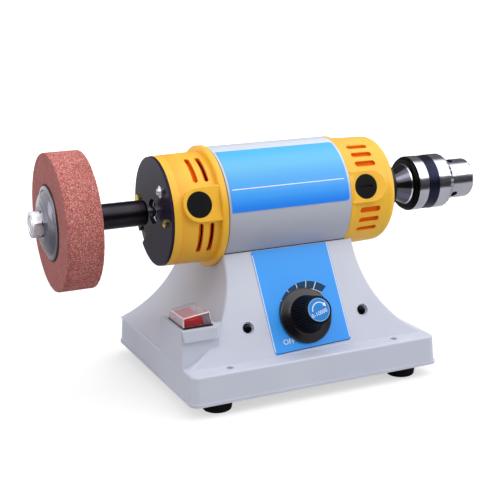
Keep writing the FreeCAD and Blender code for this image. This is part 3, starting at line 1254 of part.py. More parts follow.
# ================================================================ drill chuck
def chuck_adapter():
    """Black adapter: bored for the motor shaft, stub into the chuck."""
    a, b = RIGHT_CAP_X + ADAPTER_BACK, CHUCK_X0
    stub = b + ADAPTER_STUB_L
    rod = spin([(a, 0), (a, ADAPTER_R - 0.8), (a + 0.8, ADAPTER_R), (b, ADAPTER_R), (b, ADAPTER_STUB_R),
                (stub - 0.6, ADAPTER_STUB_R), (stub, ADAPTER_STUB_R - 0.6), (stub, 0)])
    return rod.cut(x_bar(SHAFT_END_R + 0.02, a - 1, b - 2))


def jaw_line(turn):
    """Start point, direction and outward radial of a jaw's bore, tip first."""
    a = math.radians(turn)
    out = V(0, -math.sin(a), math.cos(a))
    slope = math.radians(JAW_ANGLE)
    back = V(-math.cos(slope), 0, 0) + out * math.sin(slope)
    tip = V(JAW_TIP_X, 0, AXIS_Z) + out * (JAW_GRIP + JAW_LAND)
    return tip, back, out


def chuck_body():
    """Chuck body: rear cone, sleeve journal, nut groove, nose, throat and three slanting bores."""
    x0 = CHUCK_X0
    cone_x = x0 + CHUCK_CONE_L
    ring_x = cone_x + REAR_RING_T
    journal = SLEEVE_BORE - RUN_FIT
    groove0 = SLEEVE_X1 - NUT_L - 2 * SIDE_GAP
    groove1 = SLEEVE_X1
    e = NOSE_EDGE
    diag = e * math.sqrt(0.5)
    form = spin([(x0, 0), (x0, CHUCK_CONE_R0), (cone_x, CHUCK_CONE_R1), (ring_x, CHUCK_CONE_R1),
                 (ring_x, journal), (groove0, journal),
                 (groove0, NUT_GROOVE_R), (groove1, NUT_GROOVE_R), (groove1, NOSE_R), (NOSE_END - e, NOSE_R),
                 ((NOSE_END - e + diag, NOSE_R - e + diag), (NOSE_END, NOSE_R - e)), (NOSE_END, 0)])
    tools = [x_bar(ADAPTER_STUB_R, x0 - 1, x0 + ADAPTER_STUB_L + 0.5),
             x_bar(THROAT_R, x0 + ADAPTER_STUB_L + 6, NOSE_END + 1)]
    for turn in JAW_TURNS:
        tip, back, out = jaw_line(turn)
        tools.append(round_bar(JAW_R + RUN_FIT, tip - back * 12, tip + back * (JAW_L + JAW_BACK_ROOM)))
    for turn in KEY_HOLE_TURNS:
        tools.append(turned(round_bar(KEY_HOLE_R, V(KEY_HOLE_X, 0, AXIS_Z + NOSE_R - KEY_HOLE_DEPTH),
                                      V(KEY_HOLE_X, 0, AXIS_Z + NOSE_R + 5)), turn))
    return cut(form, tools)


def chuck_rear_ring():
    """Black ring behind the sleeve."""
    x0 = CHUCK_X0 + CHUCK_CONE_L
    x1 = x0 + REAR_RING_T
    return spin([(x0, CHUCK_CONE_R1), (x0, REAR_RING_R - 1.4), (x0 + 1.4, REAR_RING_R), (x1, REAR_RING_R),
                 (x1, CHUCK_CONE_R1)])


def chuck_sleeve():
    """Turning sleeve: knurled band, bevel with the key's gear teeth, bore for the ring nut."""
    x0, x1 = SLEEVE_X0, SLEEVE_X1
    bx0 = x0 + BAND_X0
    bx1 = bx0 + BAND_L
    front = x1 + SLEEVE_BEVEL_L
    nose = NOSE_R + RUN_FIT
    form = spin([(x0, SLEEVE_BORE), (x0, SLEEVE_R - 0.9), (x0 + 0.9, SLEEVE_R), (bx0, SLEEVE_R),
                 (bx0, SLEEVE_R - BAND_DEPTH),
                 (bx1, SLEEVE_R - BAND_DEPTH), (bx1, SLEEVE_R), (x1, SLEEVE_R),
                 (front, SLEEVE_R - SLEEVE_BEVEL_L), (front, nose),
                 (x1 + SIDE_GAP, nose), (x1 + SIDE_GAP, SLEEVE_BORE)])
    mean = SLEEVE_R - SLEEVE_BEVEL_L * 0.75
    pitch = 2 * math.pi * mean / TOOTH_COUNT
    deep = TOOTH_DEPTH
    slope = V(1, 0, -1)
    gap_face = face_of([V(0, -pitch * 0.30, 0.8), V(0, pitch * 0.30, 0.8), V(0, pitch * 0.14, -deep),
                        V(0, -pitch * 0.14, -deep)])
    gap = gap_face.extrude(V(SLEEVE_BEVEL_L, 0, 0))
    gap.rotate(V(0, 0, 0), Y_AXIS, 45)
    gap.translate(V(x1 + SLEEVE_BEVEL_L * 0.42, 0, AXIS_Z + SLEEVE_R - SLEEVE_BEVEL_L * 0.42))
    gaps = [turned(gap, 360.0 * i / TOOTH_COUNT) for i in range(TOOTH_COUNT)]
    return form.cut(gaps)


def chuck_nut():
    """Ring nut pressed in the sleeve, its conical bore round the jaws' backs."""
    x1 = SLEEVE_X1 - SIDE_GAP
    x0 = x1 - NUT_L
    slope = math.tan(math.radians(JAW_ANGLE))
    outer_side = JAW_R / math.cos(math.radians(JAW_ANGLE))

    def back_radius(x):
        return JAW_GRIP + JAW_LAND + (JAW_TIP_X - x) * slope + outer_side + SLEEVE_GRIP
    return spin([(x0, back_radius(x0)), (x0, SLEEVE_BORE), (x1, SLEEVE_BORE), (x1, back_radius(x1))])


def chuck_jaw(turn):
    """Jaw: a slanting rod with a flat grip along the axis and two flanks at 60 degrees."""
    tip, back, out = jaw_line(turn)
    rod = round_bar(JAW_R, tip - back * 6, tip + back * JAW_L)
    side = X_AXIS.cross(out)
    travel = JAW_GRIP - JAW_GRIP_MIN
    apex = travel + 0.15
    reach = 40.0
    wide = math.tan(math.radians(60)) * (reach - apex)
    base = V(JAW_TIP_X, 0, AXIS_Z)
    narrow = math.tan(math.radians(60)) * (JAW_GRIP - apex)
    wedge = face_of([base + out * JAW_GRIP - side * narrow, base + out * JAW_GRIP + side * narrow,
                     base + out * reach + side * wide, base + out * reach - side * wide]).extrude(V(-60, 0,
                             0))
    return rod.common(wedge)


# ================================================================ write every node
NODES = {
    "base_shell": base_shell,
    "base_plate": base_plate,
    "rubber_feet": rubber_feet,
    "foot_screws": foot_screws,
    "panel_label": panel_label,
    "panel_screws": panel_screws,
    "speed_knob": speed_knob,
    "knob_disc": knob_disc,
    "potentiometer": potentiometer,
    "pot_shaft": pot_shaft,
    "switch_body": switch_body,
    "switch_rocker": switch_rocker,
    "switch_cover": switch_cover,
    "cord_gland": cord_gland,
    "control_board": control_board,
    "motor_tube": motor_tube,
    "motor_label": motor_label,
    "saddle_screws": saddle_screws,
    "left_end_cap": left_end_cap,
    "right_end_cap": right_end_cap,
    "end_plate": end_plate,
    "end_plate_screws": end_plate_screws,
    "earth_screw": earth_screw,
    "cap_plugs": cap_plugs,
    "brush_caps": brush_caps,
    "brush_holders": brush_holders,
    "carbon_brushes": carbon_brushes,
    "brush_springs": brush_springs,
    "stator_core": stator_core,
    "field_coils": field_coils,
    "tie_bolts": tie_bolts,
    "left_bearing_outer": lambda: bearing_outer("left"),
    "right_bearing_outer": lambda: bearing_outer("right"),
    "left_bearing_inner": lambda: bearing_inner("left"),
    "right_bearing_inner": lambda: bearing_inner("right"),
    "bearing_cover": bearing_cover,
    "motor_shaft": motor_shaft,
    "armature_core": armature_core,
    "armature_winding": armature_winding,
    "commutator": commutator,
    "cooling_fan": cooling_fan,
    "wheel_arbor": wheel_arbor,
    "arbor_set_screw": arbor_set_screw,
    "inner_flange": inner_flange,
    "grinding_wheel": grinding_wheel,
    "outer_flange": outer_flange,
    "wheel_nut": wheel_nut,
    "chuck_adapter": chuck_adapter,
    "chuck_body": chuck_body,
    "chuck_rear_ring": chuck_rear_ring,
    "chuck_sleeve": chuck_sleeve,
    "chuck_nut": chuck_nut,
}
for number, jaw_turn in enumerate(JAW_TURNS, 1):
    NODES["chuck_jaw_%d" % number] = lambda turn=jaw_turn: chuck_jaw(turn)

for node_name, make in NODES.items():
    node_shape = make()
    save(node_name, node_shape)
    print(node_name, len(node_shape.Solids), node_shape.isValid(), round(node_shape.Volume, 1))
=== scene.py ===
import math

import bmesh
import bpy
import numpy as np
from mathutils import Matrix, Vector


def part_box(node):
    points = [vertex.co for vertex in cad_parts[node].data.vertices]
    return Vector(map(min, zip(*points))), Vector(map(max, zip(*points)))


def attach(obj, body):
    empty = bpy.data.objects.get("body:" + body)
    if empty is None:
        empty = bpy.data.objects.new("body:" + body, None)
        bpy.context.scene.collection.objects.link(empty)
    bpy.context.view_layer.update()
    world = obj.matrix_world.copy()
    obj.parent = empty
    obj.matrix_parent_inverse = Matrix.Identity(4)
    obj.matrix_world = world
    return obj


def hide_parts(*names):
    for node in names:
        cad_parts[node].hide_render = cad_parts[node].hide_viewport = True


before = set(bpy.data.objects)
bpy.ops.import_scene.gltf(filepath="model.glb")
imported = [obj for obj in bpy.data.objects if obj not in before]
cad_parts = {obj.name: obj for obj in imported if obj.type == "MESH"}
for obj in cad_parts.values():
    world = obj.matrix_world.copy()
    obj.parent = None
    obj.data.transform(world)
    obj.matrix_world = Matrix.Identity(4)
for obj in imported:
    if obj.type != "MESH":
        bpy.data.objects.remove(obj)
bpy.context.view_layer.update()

# Finish and lighting of the bench polishing lathe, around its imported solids.
# Lengths are millimetres until a mesh is made. X runs along the spindle, wheel at -X and
# chuck at +X; -Y is the front with the speed knob; +Z is up.
MM = 0.001
X, _, Z = np.eye(3)
AXIS_Z = 134.0                            # spindle line over the bench
TUBE_R = 44.4
TUBE_X0, TUBE_X1 = -53.7, 48.0
WHEEL_R = 50.0
WHEEL_X0, WHEEL_X1 = -173.7, -147.7       # outer and inner face
NUT_X0, NUT_X1 = -187.0, -180.3           # outer and inner end
ROD_R, THREAD_R = 9.5, 5.95


# ---------------------------------------------------------------- places
def turn_line(origin, axis, start):
    """Line that a piece is turned about: origin, direction, and the directions of its
    0 and 90 degrees, the second being axis x start."""
    origin, axis, start = (np.asarray(v, float) for v in (origin, axis, start))
    return origin, axis, start, np.cross(axis, start)


SPINDLE = turn_line((0, 0, AXIS_Z), X, Z)         # angles run from the top to the front

LEAN = math.radians(25.8)
PANEL_FOOT = np.array([0.0, -67.6, 30.9])
PANEL_RISE = np.array([0.0, math.sin(LEAN), math.cos(LEAN)])
PANEL_NORMAL = np.array([0.0, -math.cos(LEAN), math.sin(LEAN)])
PANEL_T = 0.35
KNOB_AT = (1.2, 26.2)
DIAL_AT = (2.0, 27.6)        # middle of the printed dial, and of the plate's turn
PLATE_TURN = math.radians(2.1)


def on_panel(across, up, out):
    """Point of the sloping front: foot + across X + up along the slope + out along its normal."""
    across, up, out = (np.asarray(v, float)[..., None] for v in (across, up, out))
    return PANEL_FOOT + across * X + up * PANEL_RISE + out * PANEL_NORMAL


def on_plate(across, up, out):
    """Point of the plate, which lies turned about the dial's middle."""
    a, b = np.asarray(across, float) - DIAL_AT[0], np.asarray(up, float) - DIAL_AT[1]
    c, s = math.cos(PLATE_TURN), math.sin(PLATE_TURN)
    return on_panel(DIAL_AT[0] + c * a - s * b, DIAL_AT[1] + s * a + c * b, out)


def on_tube(along, turn, out):
    """Point round the tube: x, degrees from the top to the front, and height over the tube."""
    along, a, r = np.broadcast_arrays(along, np.radians(turn), TUBE_R + np.asarray(out, float))
    return np.stack([along, -r * np.sin(a), AXIS_Z + r * np.cos(a)], -1)


KNOB_LINE = turn_line(on_panel(*KNOB_AT, 0.0), PANEL_NORMAL, X)


# ---------------------------------------------------------------- surfaces
def grid_faces(rows, cols):
    """Four-sided faces between neighbouring points of a grid."""
    at = np.arange(rows * cols).reshape(rows, cols)
    return np.stack([at[:-1, :-1], at[1:, :-1], at[1:, 1:], at[:-1, 1:]], -1).reshape(-1, 4)


def soften(outline, steps=5):
    """Outline with rounded corners, from rows of (height, radius, setback). A corner P becomes
    (1-t)^2 A + 2t(1-t) P + t^2 B, with A and B a setback before and after it."""
    rows = np.asarray(outline, float)
    p, back = rows[:, :2], rows[:, 2:]
    before, after = np.roll(p, 1, 0) - p, np.roll(p, -1, 0) - p
    before /= np.maximum(np.linalg.norm(before, axis=1, keepdims=True), 1e-9)
    after /= np.maximum(np.linalg.norm(after, axis=1, keepdims=True), 1e-9)
    t = np.linspace(0, 1, steps)[None, :, None]
    a, b = (p + back * before)[:, None], (p + back * after)[:, None]
    flat = ((1 - t) ** 2 * a + 2 * t * (1 - t) * p[:, None] + t ** 2 * b).reshape(-1, 2)
    return flat[np.r_[True, np.linalg.norm(np.diff(flat, axis=0), axis=1) > 1e-6]]


def divide(outline, pitch):
    """Outline with points no more than a pitch apart, its own corners kept."""
    run = np.r_[0, np.cumsum(np.linalg.norm(np.diff(outline, axis=0), axis=1))]
    stations = np.unique(np.r_[run, np.arange(0, run[-1], pitch)])
    return np.stack([np.interp(stations, run, outline[:, k]) for k in (0, 1)], 1)


def lathe(line, outline, sectors, relief=None):
    """Surface turned about a line: origin + h axis + r (cos a start + sin a side), for the
    outline's heights h and radii r. A relief changes h and r by place and angle."""
    origin, axis, start, side = line
    rows = np.asarray(outline, float)
    a = np.linspace(0, 2 * np.pi, sectors + 1)[None, :]
    h, r = rows[:, :1] + 0 * a, rows[:, 1:2] + 0 * a
    if relief:
        h, r = relief(h, r, a)
    a, h, r = (v[..., None] for v in np.broadcast_arrays(a, h, r))
    points = origin + h * axis + r * (np.cos(a) * start + np.sin(a) * side)
    return points.reshape(-1, 3), grid_faces(len(rows), sectors + 1)


def plate_on(surface, u, v, low, high):
    """Closed thin plate over a surface(u, v, height): an upper and a lower grid, and a strip
    round their edge."""
    rows, cols = u.shape
    at = np.arange(rows * cols).reshape(rows, cols)
    points = np.concatenate([surface(u, v, high).reshape(-1, 3), surface(u, v, low).reshape(-1, 3)])
    ring = np.r_[at[0, :-1], at[:-1, -1], at[-1, :0:-1], at[:0:-1, 0]]
    after = np.roll(ring, -1)
    deep = rows * cols
    strip = np.stack([ring, after, after + deep, ring + deep], -1)
    flat = grid_faces(rows, cols)
    return points, np.concatenate([flat, flat[:, ::-1] + deep, strip])


def rounded_sheet(u0, u1, v0, v1, corners, cols, rows):
    """Grid over a rectangle with round corners. At each v the ends of the row draw in by
    R - sqrt(R^2 - d^2), d being the depth into the corner. corners: left and right radius."""
    left, right = corners
    edge = np.linspace(0, 1, 9) ** 2 * max(left, right)
    v = np.unique(np.r_[v0 + edge, np.linspace(v0 + edge[-1], v1 - edge[-1], rows), v1 - edge])
    near = np.minimum(v - v0, v1 - v)

    def draw(radius):
        d = np.clip(radius - near, 0, radius)
        return radius - np.sqrt(radius ** 2 - d ** 2)
    s = np.linspace(0, 1, cols)[None, :]
    start, end = (u0 + draw(left))[:, None], (u1 - draw(right))[:, None]
    return start + s * (end - start), v[:, None] + 0 * s


def crown(angle, flats, cone_radius):
    """Radius of a hexagon with its corners turned away: the smaller of flats / cos(a) within
    each side and the cone's radius."""
    a = (angle + np.pi / 6) % (np.pi / 3) - np.pi / 6
    return np.minimum(flats / np.cos(a), cone_radius)


def add_piece(name, parts, finishes, body, stands_for=(), crisp=32.0):
    """New piece from parts (points, faces, finish numbers), in metres from here on."""
    mesh = bpy.data.meshes.new(name)
    counts = np.cumsum([0] + [len(p[0]) for p in parts])
    points = np.concatenate([p[0] for p in parts]) * MM
    faces = np.concatenate([p[1] + c for p, c in zip(parts, counts)])
    mesh.from_pydata(points.tolist(), [], faces.tolist())
    numbers = np.concatenate([np.zeros(len(p[1]), int) + (p[2] if len(p) > 2 else 0) for p in parts])
    mesh.polygons.foreach_set("material_index", numbers.astype(np.int32))
    return finish_piece(name, mesh, finishes, body, stands_for, crisp)


def finish_piece(name, mesh, finishes, body, stands_for, crisp):
    """Join points that meet, turn faces outwards, shade smoothly with crisp edges over an
    angle, give the piece its finishes, hang it on its body and hide the nodes it replaces."""
    join = 2e-6
    work = bmesh.new()
    work.from_mesh(mesh)
    bmesh.ops.remove_doubles(work, verts=work.verts, dist=join)
    bmesh.ops.dissolve_degenerate(work, edges=work.edges, dist=join / 4)
    bmesh.ops.recalc_face_normals(work, faces=work.faces)
    work.to_mesh(mesh)
    work.free()
    mesh.shade_smooth()
    mesh.set_sharp_from_angle(angle=math.radians(crisp))
    for finish in finishes:
        mesh.materials.append(finish)
    piece = bpy.data.objects.new(name, mesh)
    bpy.context.scene.collection.objects.link(piece)
    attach(piece, body)
    if stands_for:
        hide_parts(*stands_for)
    return piece


# ---------------------------------------------------------------- finishes
def tone(red, green, blue):
    """Colour from 0-255 screen values to linear."""
    c = np.array([red, green, blue]) / 255
    return tuple(np.where(c <= 0.04045, c / 12.92, ((c + 0.055) / 1.055) ** 2.4)) + (1.0,)


class Finish:
    """Material whose pattern is fixed to the piece's own coordinates, in metres."""

    def __init__(self, name, **fixed):
        self.material = bpy.data.materials.new(name)
        self.material.use_nodes = True
        self.tree = self.material.node_tree
        self.shader = self.tree.nodes["Principled BSDF"]
        self.place = self.tree.nodes.new("ShaderNodeTexCoord").outputs["Object"]
        for socket, value in fixed.items():
            self.shader.inputs[socket.replace("_", " ")].default_value = value

    def add(self, kind, inputs, output=0, **settings):
        """New node; inputs are values or other nodes' outputs."""
        node = self.tree.nodes.new("ShaderNode" + kind)
        for key, value in settings.items():
            setattr(node, key, value)
        for key, value in inputs.items():
            if isinstance(value, bpy.types.NodeSocket):
                self.tree.links.new(value, node.inputs[key])
            else:
                node.inputs[key].default_value = value
        return node.outputs[output]

    def link(self, output, socket):
        self.tree.links.new(output, self.shader.inputs[socket])

    def noise(self, scale, detail=3.0, place=None):
        return self.add("TexNoise", {"Vector": place or self.place, "Scale": scale, "Detail": detail,
                                     "Roughness": 0.5})

    def ramp(self, value, stops):
        """Colour by value, from (position, colour) stops."""
        node = self.tree.nodes.new("ShaderNodeValToRGB")
        self.tree.links.new(value, node.inputs[0])
        line = node.color_ramp.elements
        line[0].position, line[0].color = stops[0]
        line[1].position, line[1].color = stops[-1]
        for position, colour in stops[1:-1]:
            line.new(position).color = colour
        return node.outputs[0]

    def blend(self, value, first, second):
        """Mix of two colours by a value."""
        node = self.tree.nodes.new("ShaderNodeMix")
        node.data_type = "RGBA"
        self.tree.links.new(value, node.inputs[0])
        for socket, colour in ((node.inputs[6], first), (node.inputs[7], second)):
            if isinstance(colour, bpy.types.NodeSocket):
                self.tree.links.new(colour, socket)
            else:
                socket.default_value = colour
        return node.outputs[2]

    def span(self, value, low, high, start=0.0, end=1.0):
        """Value brought from start..end to low..high."""
        return self.add("MapRange", {"Value": value, "From Min": start, "From Max": end,
                                     "To Min": low, "To Max": high})

    def math(self, operation, first, second=0.0):
        return self.add("Math", {0: first, 1: second}, operation=operation)

    def apart(self, place=None):
        """The three coordinates of a place, or of the piece's own."""
        return self.add("SeparateXYZ", {0: place or self.place}).node.outputs

    def rings(self, across=0.0):
        """Coordinates (x, distance from the spindle line, across z): rings round the line."""
        x, y, z = self.apart()
        z = self.math("SUBTRACT", z, AXIS_Z * MM)
        square = self.math("ADD", self.math("MULTIPLY", y, y), self.math("MULTIPLY", z, z))
        r = self.math("SQRT", square)
        return self.add("CombineXYZ", {0: x, 1: r, 2: self.math("MULTIPLY", z, across)})

    def drift(self, low=0.3, high=0.7):
        """Slow change over centimetres, 0 to 1."""
        return self.span(self.noise(14.0, 4.0), 0.0, 1.0, low, high)

    def bump(self, height, depth):
        """Surface relief; depth in millimetres."""
        relief = self.add("Bump", {"Height": height, "Distance": depth * MM, "Strength": 1.0})
        self.link(relief, "Normal")


def moulded(name, colour, deep, rough=0.42, grain=1400.0, depth=0.012, **fixed):
    """Moulded plastic: tone drifts over centimetres, fine spark grain, uneven gloss."""
    f = Finish(name, **fixed)
    f.link(f.blend(f.drift(), colour, deep), "Base Color")
    f.link(f.span(f.noise(60.0), rough - 0.06, rough + 0.08), "Roughness")
    f.bump(f.noise(grain, 2.0), depth)
    return f.material


def machined(name, colour, deep, rough=0.22, depth=0.006, ring_scale=2600.0):
    """Turned metal: fine rings round the spindle in tone, gloss and relief, with faint stains."""
    f = Finish(name, Metallic=1.0)
    ring = f.noise(ring_scale, 2.0, place=f.rings(0.02))
    stain = f.span(f.noise(70.0, 4.0), 0.0, 1.0, 0.35, 0.75)
    f.link(f.blend(f.math("MULTIPLY", stain, f.span(ring, 0.6, 1.0)), colour, deep), "Base Color")
    f.link(f.span(ring, rough - 0.07, rough + 0.09), "Roughness")
    f.bump(ring, depth)
    return f.material


def plated(name, colour, deep, rough=0.16, depth=0.004):
    """Plated or polished metal: cloudy gloss and faint scratches."""
    f = Finish(name, Metallic=1.0)
    cloud = f.noise(180.0, 5.0)
    f.link(f.blend(f.span(cloud, 0.0, 1.0, 0.35, 0.7), colour, deep), "Base Color")
    f.link(f.span(cloud, rough - 0.05, rough + 0.12), "Roughness")
    f.bump(f.noise(900.0, 3.0), depth)
    return f.material


def abrasive(name, colour, pale, dark, face_tone):
    """Bonded grit: cells of three tones between pits, with a rough broken surface. The
    wheel's outer face is blended towards one even tone."""
    grit_scale, rough = 2200.0, 0.85
    f = Finish(name, IOR=1.2)
    cells = f.add("TexVoronoi", {"Vector": f.place, "Scale": grit_scale, "Randomness": 1.0}, 1)
    pick = f.apart(cells)[0]
    pits = f.add("TexVoronoi", {"Vector": f.place, "Scale": grit_scale}, 0)
    mixed = f.ramp(pick, [(0.0, dark), (0.3, colour), (0.56, colour), (0.84, pale)])
    drift = f.span(f.noise(45.0, 4.0), 0.0, 0.35, 0.35, 0.7)
    outer = f.math("LESS_THAN", f.apart()[0], (WHEEL_X0 + 0.25) * MM)
    f.link(f.blend(f.math("MULTIPLY", outer, 0.62), f.blend(drift, mixed, dark), face_tone), "Base Color")
    f.link(f.span(pick, rough - 0.2, rough), "Roughness")
    f.bump(f.math("ADD", pits, f.noise(1600.0, 3.0)), 0.26)
    return f.material


def by_turn(f, stops):
    """Colour by the angle from the top to the front, from the first stop's to the last's; it paints shade
    round the tube.
    """
    _, y, z = f.apart()
    turn = f.math("ARCTAN2", f.math("MULTIPLY", y, -1.0), f.math("SUBTRACT", z, AXIS_Z * MM))
    first, last = stops[0][0], stops[-1][0]
    turn = f.span(turn, 0.0, 1.0, math.radians(first), math.radians(last))
    return f.ramp(turn, [((degrees - first) / (last - first), tone(*colour))
                         for degrees, colour in stops])


def label_film():
    """Printed blue film on the tube, darker from the top to the front as painted shade."""
    f = Finish("label_blue", Coat_Weight=0.15, Coat_Roughness=0.2)
    # painted shade: the film's blue deepens from the top round to the front
    f.link(by_turn(f, [(15, (62, 182, 238)), (25, (62, 181, 236)), (45, (82, 178, 227)),
                       (60, (54, 161, 236)), (75, (48, 160, 255)), (84, (22, 138, 255)),
                       (105, (20, 122, 250))]), "Base Color")
    f.link(f.span(f.noise(40.0), 0.3, 0.42), "Roughness")
    f.bump(f.noise(700.0, 2.0), 0.003)
    return f.material


def tube_paint():
    """White enamel, greyer towards its underside as painted shade."""
    f = Finish("tube_white")
    # painted shade: the white turns greyer from the top round to the underside
    f.link(by_turn(f, [(15, (214, 220, 234)), (60, (206, 210, 224)), (92, (184, 188, 202)),
                       (105, (178, 181, 195))]), "Base Color")
    f.link(f.span(f.noise(60.0), 0.24, 0.36), "Roughness")
    f.bump(f.noise(1400.0, 2.0), 0.004)
    return f.material


def cap_plastic():
    """Yellow moulding of both caps. The slots' walls, under the drum's skin, are painted orange as a glow of
    light through the plastic; the left hub behind the end plate is painted dark as shade, and so is the end
    face that the plate lies on."""
    drum_x, skin_r = (-0.088, 0.079), (0.0404, 0.0412)
    hub_x, hub_r, end_x = -0.0725, 0.0185, -0.09345
    f = Finish("cap_yellow", Subsurface_Weight=0.18, Subsurface_Radius=(1.0, 0.32, 0.05),
               Subsurface_Scale=0.0025)
    skin = f.blend(f.drift(), tone(251, 195, 50), tone(247, 184, 38))
    x, r, _ = f.apart(f.rings())
    deep = f.span(r, 1.0, 0.0, *skin_r)
    near = f.math("MULTIPLY", f.math("LESS_THAN", x, drum_x[1]), f.math("GREATER_THAN", x, drum_x[0]))
    # painted shade: the hub seen through the end plate's holes, and the end face under the plate, are dark
    hub = f.math("MULTIPLY", f.math("LESS_THAN", x, hub_x), f.math("LESS_THAN", r, hub_r))
    dark = f.math("MAXIMUM", hub, f.math("LESS_THAN", x, end_x))
    # painted glow: below the skin the slot walls are orange, standing in for light through the plastic
    walls = f.blend(f.math("MULTIPLY", deep, near), skin, tone(250, 110, 18))
    f.link(f.blend(dark, walls, tone(16, 14, 17)), "Base Color")
    f.link(f.span(f.noise(60.0), 0.32, 0.44), "Roughness")
    f.bump(f.noise(1400.0, 2.0), 0.012)
    return f.material


def core_steel():
    """Chuck body: bright ground steel, darker and smoother on its rear cone, whose rim carries a painted
    bright highlight.
    """
    cone_x, rim_r = 0.1207, 0.0161
    f = Finish("ground_core", Metallic=1.0)
    x, r, _ = f.apart(f.rings(0.02))
    ring = f.noise(2600.0, 2.0, place=f.rings(0.02))
    cone = f.math("LESS_THAN", x, cone_x)
    rim = f.math("MULTIPLY", cone, f.math("GREATER_THAN", r, rim_r))
    tint = f.blend(cone, f.blend(ring, tone(204, 204, 214), tone(188, 188, 200)), tone(104, 102, 114))
    # painted highlight: a bright band on the rear cone's rim
    f.link(f.blend(rim, tint, tone(240, 240, 248)), "Base Color")
    f.link(f.math("SUBTRACT", f.span(ring, 0.14, 0.26), f.math("MULTIPLY", cone, 0.04)), "Roughness")
    f.bump(ring, 0.003)
    return f.material


def bezel_plastic():
    """Bezel of the switch: a black rim outside the cover's walls and over a grey foot, and
    pale inside the cover. Inside: |x - middle| and |y - middle| less than the lid's half sides."""
    under, foot = 0.0006, 0.0600      # the black runs so far in under the walls; its lowest height
    f = Finish("bezel")
    places = f.apart()
    low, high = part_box("switch_cover")
    out = [f.math("SUBTRACT", f.math("ABSOLUTE", f.math("SUBTRACT", places[k], (low[k] + high[k]) / 2)),
                  (high[k] - low[k]) / 2 - under) for k in (0, 1)]
    rim = f.math("GREATER_THAN", f.math("MAXIMUM", *out), 0.0)
    black = f.math("MULTIPLY", rim, f.math("GREATER_THAN", places[2], foot))
    f.link(f.blend(black, tone(176, 176, 188), tone(12, 11, 14)), "Base Color")
    f.link(f.span(f.noise(60.0), 0.34, 0.5), "Roughness")
    f.bump(f.noise(1400.0, 2.0), 0.01)
    return f.material


def clear_plastic(name, clear, pale, rough):
    """Thin clear cover, a little milky, with soft moulding waves."""
    f = Finish(name, IOR=1.46, Transmission_Weight=clear)
    f.link(f.blend(f.noise(40.0), tone(*pale), tone(*(v - 8 for v in pale))), "Base Color")
    f.link(f.span(f.noise(90.0), rough, rough + 0.08), "Roughness")
    f.bump(f.noise(160.0, 2.0), 0.02)
    return f.material


